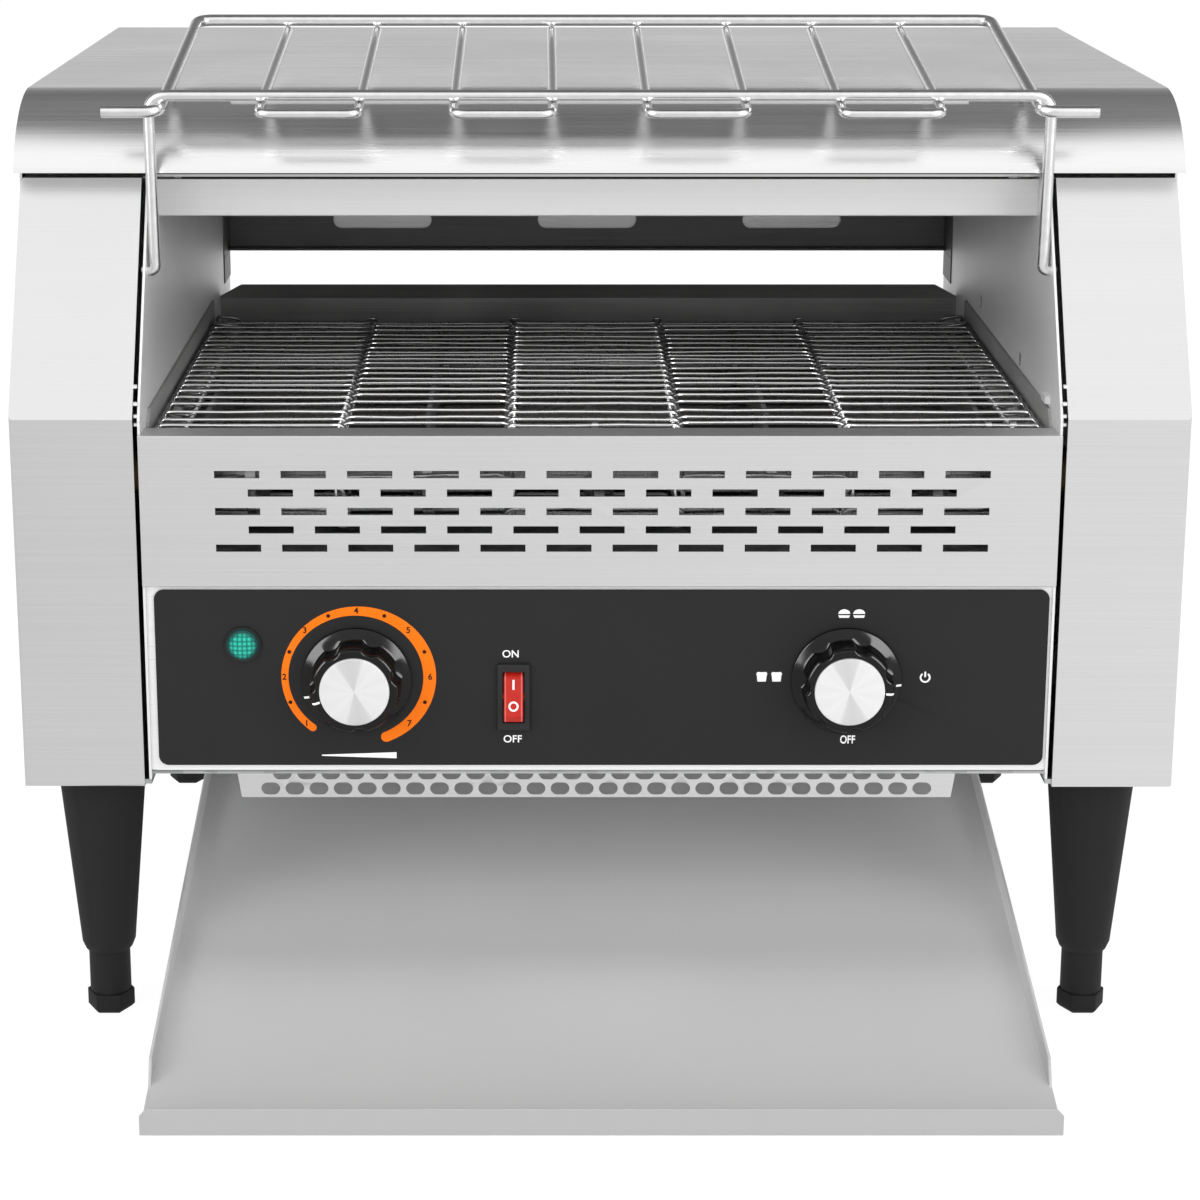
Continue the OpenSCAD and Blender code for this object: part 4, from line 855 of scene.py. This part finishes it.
belt_piece("belt_top_wires", range(RUN_PITCHES), "belt_upper_run")
belt_piece("belt_bottom_wires", range(BOTTOM_RUN, FRONT_TURN), "belt_lower_run")
belt_piece("belt_turn_wires", [*range(RUN_PITCHES, BOTTOM_RUN), *range(FRONT_TURN, STRANDS)], "belt_turns")
CLIP_D, CLIP_HALF, CLIP_PLACES = 3.4, 1.3, (-1.5, 158.0, 168.0)
clips = [wire_mesh([[spot(x + end, FRONT_SHAFT_Y, SHAFT_Z + LOOP_R) for end in (-CLIP_HALF, CLIP_HALF)]],
                   CLIP_D * MM, 16) for x in CLIP_PLACES]
new_piece("belt_splice_clips", joined(clips), "cabinet", rack_wire_finish)

# %% [markdown]
# ## The knobs
#
# Each knob is one moulding: a bevelled skirt, and a grip with seven finger scallops. A lathe makes
# the round form, so its profile is spun about the knob's axis. The scallops are then pressed in:
# every point of the grip moves towards the axis where a finger-sized circle cuts into it.
# The back is open for the bushing, and the shaft is part of the same profile.

# %% Spin and scallop the knobs
FASCIA_Y = 1.0
KNOB_H, CAP_T = 15.3, 0.8
KNOB_BACK, GRIP_FACE = FASCIA_Y - 0.4, FASCIA_Y - KNOB_H + CAP_T
GRIP_R, GRIP_INNER_R, SCALLOPS, SCALLOP_R, SCALLOP_DEPTH = 18.0, 15.2, 7, 5.0, 1.7
POINTERS = {"speed": 198.0, "mode": -4.0}  # degrees from the right


def lathe(profile, x, z, steps):
    """A closed turned shape about an axis along Y, from (radius, Y) points."""
    mesh = bmesh.new()
    points = [mesh.verts.new(spot(x + radius, y, z)) for radius, y in profile]
    edges = [mesh.edges.new(pair) for pair in zip(points, points[1:])]
    bmesh.ops.spin(mesh, geom=points + edges, cent=spot(x, 0, z), axis=(0, 1, 0), dvec=(0, 0, 0),
                   angle=math.radians(360), steps=steps, use_merge=True)
    bmesh.ops.remove_doubles(mesh, verts=mesh.verts, dist=0.0000005)
    bmesh.ops.recalc_face_normals(mesh, faces=mesh.faces)
    return mesh


def scallop(mesh, x, z, pointer):
    """Presses the finger scallops into the grip, between the lobes."""
    centre_r = GRIP_R - SCALLOP_DEPTH + SCALLOP_R
    pitch = 360 / SCALLOPS
    for vert in mesh.verts:
        depth = vert.co.y / MM + COLUMN_FRONT
        across, up = vert.co.x / MM - x, vert.co.z / MM - z
        radius = math.hypot(across, up)
        if not GRIP_FACE - 0.01 < depth < KNOB_BACK - 3.2 or radius < GRIP_INNER_R:
            continue
        turn = (math.degrees(math.atan2(up, across)) - pointer) % pitch - pitch / 2
        inside = SCALLOP_R ** 2 - (centre_r * math.sin(math.radians(turn))) ** 2
        if inside > 0:
            cut = centre_r * math.cos(math.radians(turn)) - math.sqrt(inside)
            scale = min(radius, cut + (radius - GRIP_R) * 0.75) / radius
            vert.co.x, vert.co.z = (x + across * scale) * MM, (z + up * scale) * MM


def moulding(knob, x, z):
    """A knob's black moulding. It carries its shaft."""
    profile = [(0, 12), (2.98, 12), (2.98, KNOB_BACK - 4), (7, KNOB_BACK - 4), (7, KNOB_BACK),
               (22.1, KNOB_BACK), (22.35, KNOB_BACK - 0.25), (22.35, KNOB_BACK - 1.15),
               (22.2, KNOB_BACK - 1.4), (21.9, KNOB_BACK - 1.55), (19.3, KNOB_BACK - 3.1),
               (18.6, KNOB_BACK - 3.38), (18.25, KNOB_BACK - 3.7), (18.15, KNOB_BACK - 4.4),
               (18.0, GRIP_FACE + 2.0), (17.85, GRIP_FACE + 1.3), (17.45, GRIP_FACE + 0.65),
               (16.9, GRIP_FACE + 0.2), (16.3, GRIP_FACE), (14.5, GRIP_FACE), (14.3, GRIP_FACE + 0.1),
               (14.25, GRIP_FACE + 0.4), (0, GRIP_FACE + 0.4)]
    mesh = lathe(profile, x, z, 210)
    scallop(mesh, x, z, POINTERS[knob])
    smooth_by_angle(mesh, 40)
    print(knob, "knob faces:", len(mesh.faces))
    new_piece(f"{knob}_knob_moulding", mesh, f"{knob}_knob_set", knob_black, [f"{knob}_knob"])


def cap(knob, x, z):
    """The spun disc that is pressed into a grip's face."""
    front = GRIP_FACE - CAP_T
    profile = [(0, front + 0.02), (7, front + 0.01), (13.45, front), (13.85, front + 0.08),
               (14.05, front + 0.3), (14.1, front + 0.7), (14.1, GRIP_FACE + 0.3), (0, GRIP_FACE + 0.3)]
    mesh = lathe(profile, x, z, 96)
    smooth_by_angle(mesh, 50)
    new_piece(f"{knob}_knob_disc", mesh, f"{knob}_knob_set", cap_finish[knob],
              [f"{knob}_knob_cap"])


for knob, place in KNOBS.items():
    moulding(knob, *place)
for knob, place in KNOBS.items():
    cap(knob, *place)
for name in ("speed_knob_moulding", "mode_knob_moulding", "belt_top_wires", "belt_splice_clips",
             "rack_bail_wire", "rack_frame_wire", "rack_slat_wires"):
    glossy_pieces.objects.link(bpy.data.objects[name])

# %% [markdown]
# ## Print
#
# The dial and the words are screen-printed: ink a few hundredths of a millimetre thick. Flat curves
# and text make the shapes, a small extrusion gives them the ink's thickness, and each is made
# a mesh before it is stood up on the fascia. Only plain signs are used: numbers, ON, OFF, bread,
# buns and the standby ring.

# %% Helpers for print
INK = 0.05
CAPITALS = 0.73  # the font's capitals, for a size of 1


def flat_curve(outlines):
    """A filled flat curve from closed outlines of (x, z) points."""
    curve = curve_through(outlines, "2D")
    curve.fill_mode = "BOTH"
    for spline in curve.splines:
        spline.use_cyclic_u = True
    return curve


def lettering(words, height, bold):
    curve = bpy.data.curves.new("print", "FONT")
    curve.body = words
    curve.align_x, curve.align_y = "CENTER", "CENTER"
    curve.size = height / CAPITALS
    curve.offset = bold
    curve.space_character = 1.0 + bold / height
    return curve


def stood_up(curve, x, z, y=FASCIA_Y, width=1.0, turn=Matrix.Identity(3)):
    """A flat curve as ink on a surface that faces forward."""
    curve.extrude = INK / 2
    mesh = mesh_of(curve, 0.0001)
    upright = Matrix(((width, 0, 0), (0, 0, -1), (0, 1, 0)))
    for vert in mesh.verts:
        vert.co = spot(x, y - INK / 2, z) + turn @ (upright @ vert.co) * MM
    bmesh.ops.recalc_face_normals(mesh, faces=mesh.faces)
    return mesh


def ring_points(radius, centre=(0.0, 0.0), start=0.0, end=360.0, count=64, flatten=1.0):
    """Points on a circle, or on a part of one between two angles in degrees."""
    steps = count if abs(end - start) >= 360 else count - 1
    angles = [math.radians(start + (end - start) * i / steps) for i in range(count)]
    return [(centre[0] + radius * math.cos(a), centre[1] + radius * flatten * math.sin(a))
            for a in angles]


# %% [markdown]
# The speed dial is a crescent: its outer and inner edges have centres a little apart, so the band is
# widest at the fast end. It is a little flatter than a circle, and its ends are rounded.

# %% Print the speed dial
DIAL_FLATTEN = 0.95


def crescent():
    outer_centre, outer_r = (0.9, 1.4), 31.3
    inner_centre, inner_r = (-0.25, 1.4), 27.3
    start, end = 231.0, -67.0
    outer = ring_points(outer_r, outer_centre, start, end, 120, DIAL_FLATTEN)
    inner = ring_points(inner_r, inner_centre, end, start, 120, DIAL_FLATTEN)

    def end_cap(first, last):
        middle = ((first[0] + last[0]) / 2, (first[1] + last[1]) / 2)
        radius = math.dist(first, last) / 2
        angle = math.degrees(math.atan2(first[1] - middle[1], first[0] - middle[0]))
        return ring_points(radius, middle, angle, angle - 180, 12)[1:-1]

    return outer + end_cap(outer[-1], inner[0]) + inner + end_cap(inner[-1], outer[0])


dial_x, dial_z = KNOBS["speed"]
dial = stood_up(flat_curve([crescent()]), dial_x, dial_z)
new_piece("speed_dial_band", dial, "cabinet", orange_print)
places = ring_points(29.5, (0.3, 1.3), 225, -45, 13, DIAL_FLATTEN)
numbers = []
for i, (across, up) in enumerate(places):
    shape = flat_curve([ring_points(0.8, count=16)]) if i % 2 else lettering(str(i // 2 + 1), 2.6, 0.08)
    numbers.append(stood_up(shape, dial_x + across, dial_z + up, FASCIA_Y - INK))
new_piece("speed_dial_numbers", joined(numbers), "cabinet", dark_print)

# %% [markdown]
# The words of the power switch are plain ON and OFF. The mode knob has four places: buns at the top,
# bread at the left, standby at the right and OFF at the bottom. Under the speed knob, a long thin
# wedge says that the toast gets darker one way.

# %% Print the words and signs


def slice_sign(x, z, size):
    """A slice of bread: a square with a lobed top."""
    half = size / 2
    outline = [(-half * 0.8, -half), (half * 0.8, -half)]
    outline += ring_points(half * 0.42, (half * 0.62, half * 0.52), -40, 120, 10)
    outline += ring_points(half * 0.42, (-half * 0.62, half * 0.52), 60, 220, 10)
    return stood_up(flat_curve([outline]), x, z)


def bun_sign(x, z, width):
    """A cut bun: a domed top and a flat heel."""
    dome = [(px, pz * 0.8 + 0.15) for px, pz in ring_points(width / 2, (0, 0), 0, 180, 24)]
    heel = [(-width / 2, -0.45), (-width / 2 + 0.5, -1.5), (width / 2 - 0.5, -1.5), (width / 2, -0.45)]
    return [stood_up(flat_curve([dome]), x, z), stood_up(flat_curve([heel]), x, z)]


def standby_sign(x, z, radius, stroke):
    outline = ring_points(radius, (0, 0), 55, -235, 40) + ring_points(radius - stroke, (0, 0), -235, 55, 40)
    bar = [(-stroke / 2, 0.2), (stroke / 2, 0.2), (stroke / 2, radius + 0.3), (-stroke / 2, radius + 0.3)]
    return [stood_up(flat_curve([outline]), x, z), stood_up(flat_curve([bar]), x, z)]


wedge = [(-15.2, -0.25), (15.2, -1.3), (15.2, 1.3), (-15.2, 0.25)]
signs = [
    stood_up(lettering("ON", 3.15, 0.05), -35.6, 167.5),
    stood_up(lettering("OFF", 3.15, 0.05), -34.9, 131.2),
    stood_up(lettering("OFF", 3.5, 0.10), 101.3, 130.9, width=0.72),
    stood_up(flat_curve([wedge]), -97.4, 124.3),
    slice_sign(65.9, 158.0, 4.2), slice_sign(71.9, 158.0, 4.2),
    *bun_sign(98.6, 184.4, 4.8), *bun_sign(104.6, 184.4, 4.8),
    *standby_sign(132.0, 157.6, 2.2, 0.7),
]
new_piece("panel_words_and_signs", joined(signs), "cabinet", white_print)


MARK_WIDTH, MARK_T = 0.9, 0.04
GRIP_MARK = (14.6, 17.85, GRIP_FACE - 0.01, GRIP_FACE + 0.75)  # radii, then Y at each
SKIRT_MARK = (20.0, 22.3, KNOB_BACK - 2.7, KNOB_BACK - 1.35)


def pointer_marks(knob, x, z):
    """A knob's two white marks: one on the grip's face and one on the skirt."""
    turn = Matrix.Rotation(math.radians(POINTERS[knob]), 3, (0, -1, 0))
    marks = []
    for inner, outer, y_inner, y_outer in (GRIP_MARK, SKIRT_MARK):
        mesh = bmesh.new()
        bmesh.ops.create_grid(mesh, x_segments=6, y_segments=1, size=0.5)
        for vert in mesh.verts:
            along = vert.co.x + 0.5
            radius = inner + (outer - inner) * along
            sag = max(0.0, (radius - 16.3) / 1.3) ** 2 if inner < 16 else along
            depth = y_inner + (y_outer - y_inner) * sag - MARK_T
            vert.co = spot(x, depth, z) + turn @ Vector((radius, 0, vert.co.y * MARK_WIDTH)) * MM
        bmesh.ops.recalc_face_normals(mesh, faces=mesh.faces)
        if mesh.faces[:][0].normal.y > 0:
            bmesh.ops.reverse_faces(mesh, faces=mesh.faces)
        bmesh.ops.solidify(mesh, geom=mesh.faces[:], thickness=MARK_T * MM)
        marks.append(mesh)
    new_piece(f"{knob}_knob_pointer", joined(marks), f"{knob}_knob_set", white_print)


for knob, place in KNOBS.items():
    pointer_marks(knob, *place)
print("panel printed")

# %% [markdown]
# ## Rocker and lamp
#
# The rocker is clear red plastic with two white signs moulded in. It is drawn pressed in at the
# top, its on position, so its face leans back by ten degrees. The pilot lamp's lens is cast with a
# grid of small pyramids inside, which scatter the light. Here the same grid is raised on the dome.

# %% Rocker signs and lamp lens
soften("rocker_button", 0.55, segments=3)
ROCKER_PIVOT_Y, ROCKER_FACE, ROCKER_REST = 1.5, -2.9, -10.0
ROCKER_DISH = 1.2 / 7.7  # how fast the dished face comes forward


def on_rocker(curve, up):
    """Ink on the rocker's face, at a height above its pivot before it leans."""
    lean = math.copysign(math.atan(ROCKER_DISH), up)
    face_y = ROCKER_FACE - abs(up) * ROCKER_DISH
    rest = Matrix.Rotation(math.radians(ROCKER_REST), 3, "X")
    local = rest @ Vector((0, face_y - 0.02, up))
    turn = rest @ Matrix.Rotation(lean, 3, "X")
    return stood_up(curve, ROCKER[0], ROCKER[1] + local.z, ROCKER_PIVOT_Y + local.y, turn=turn)


bar_sign = [(-0.42, -2.1), (0.42, -2.1), (0.42, 2.1), (-0.42, 2.1)]
ring_sign = [ring_points(2.05, count=40), ring_points(1.3, count=40)]
marks = [on_rocker(flat_curve([bar_sign]), 5.2), on_rocker(flat_curve(ring_sign), -3.7)]
new_piece("rocker_signs", joined(marks), "power_rocker", white_print)

DOME_R, DOME_EDGE, DOME_STEPS, DOME_FRONT, GRID_RELIEF = 14, 6.2, 14, FASCIA_Y - 3.0, 0.34
lens_profile = [(0, DOME_FRONT)]
for step in range(1, DOME_STEPS + 1):
    radius = DOME_EDGE * step / DOME_STEPS
    lens_profile.append((radius, DOME_FRONT + DOME_R - math.sqrt(DOME_R ** 2 - radius ** 2)))
lens_profile += [(6.45, FASCIA_Y - 1.2), (6.45, FASCIA_Y - 0.35), (4.95, FASCIA_Y - 0.3), (4.95, 8), (0, 8)]
lens = lathe(lens_profile, *LAMP, 72)
for vert in lens.verts:
    if vert.co.y / MM + COLUMN_FRONT < FASCIA_Y - 1.3:
        across, up = vert.co.x / MM - LAMP[0], vert.co.z / MM - LAMP[1]
        relief = abs(math.sin(across * math.pi / LENS_PITCH) * math.sin(up * math.pi / LENS_PITCH))
        vert.co.y -= GRID_RELIEF * relief * MM
smooth_by_angle(lens, 50)
new_piece("lamp_dome", lens, "cabinet", lamp_green, ["lamp_lens"])
print("rocker and lamp done")
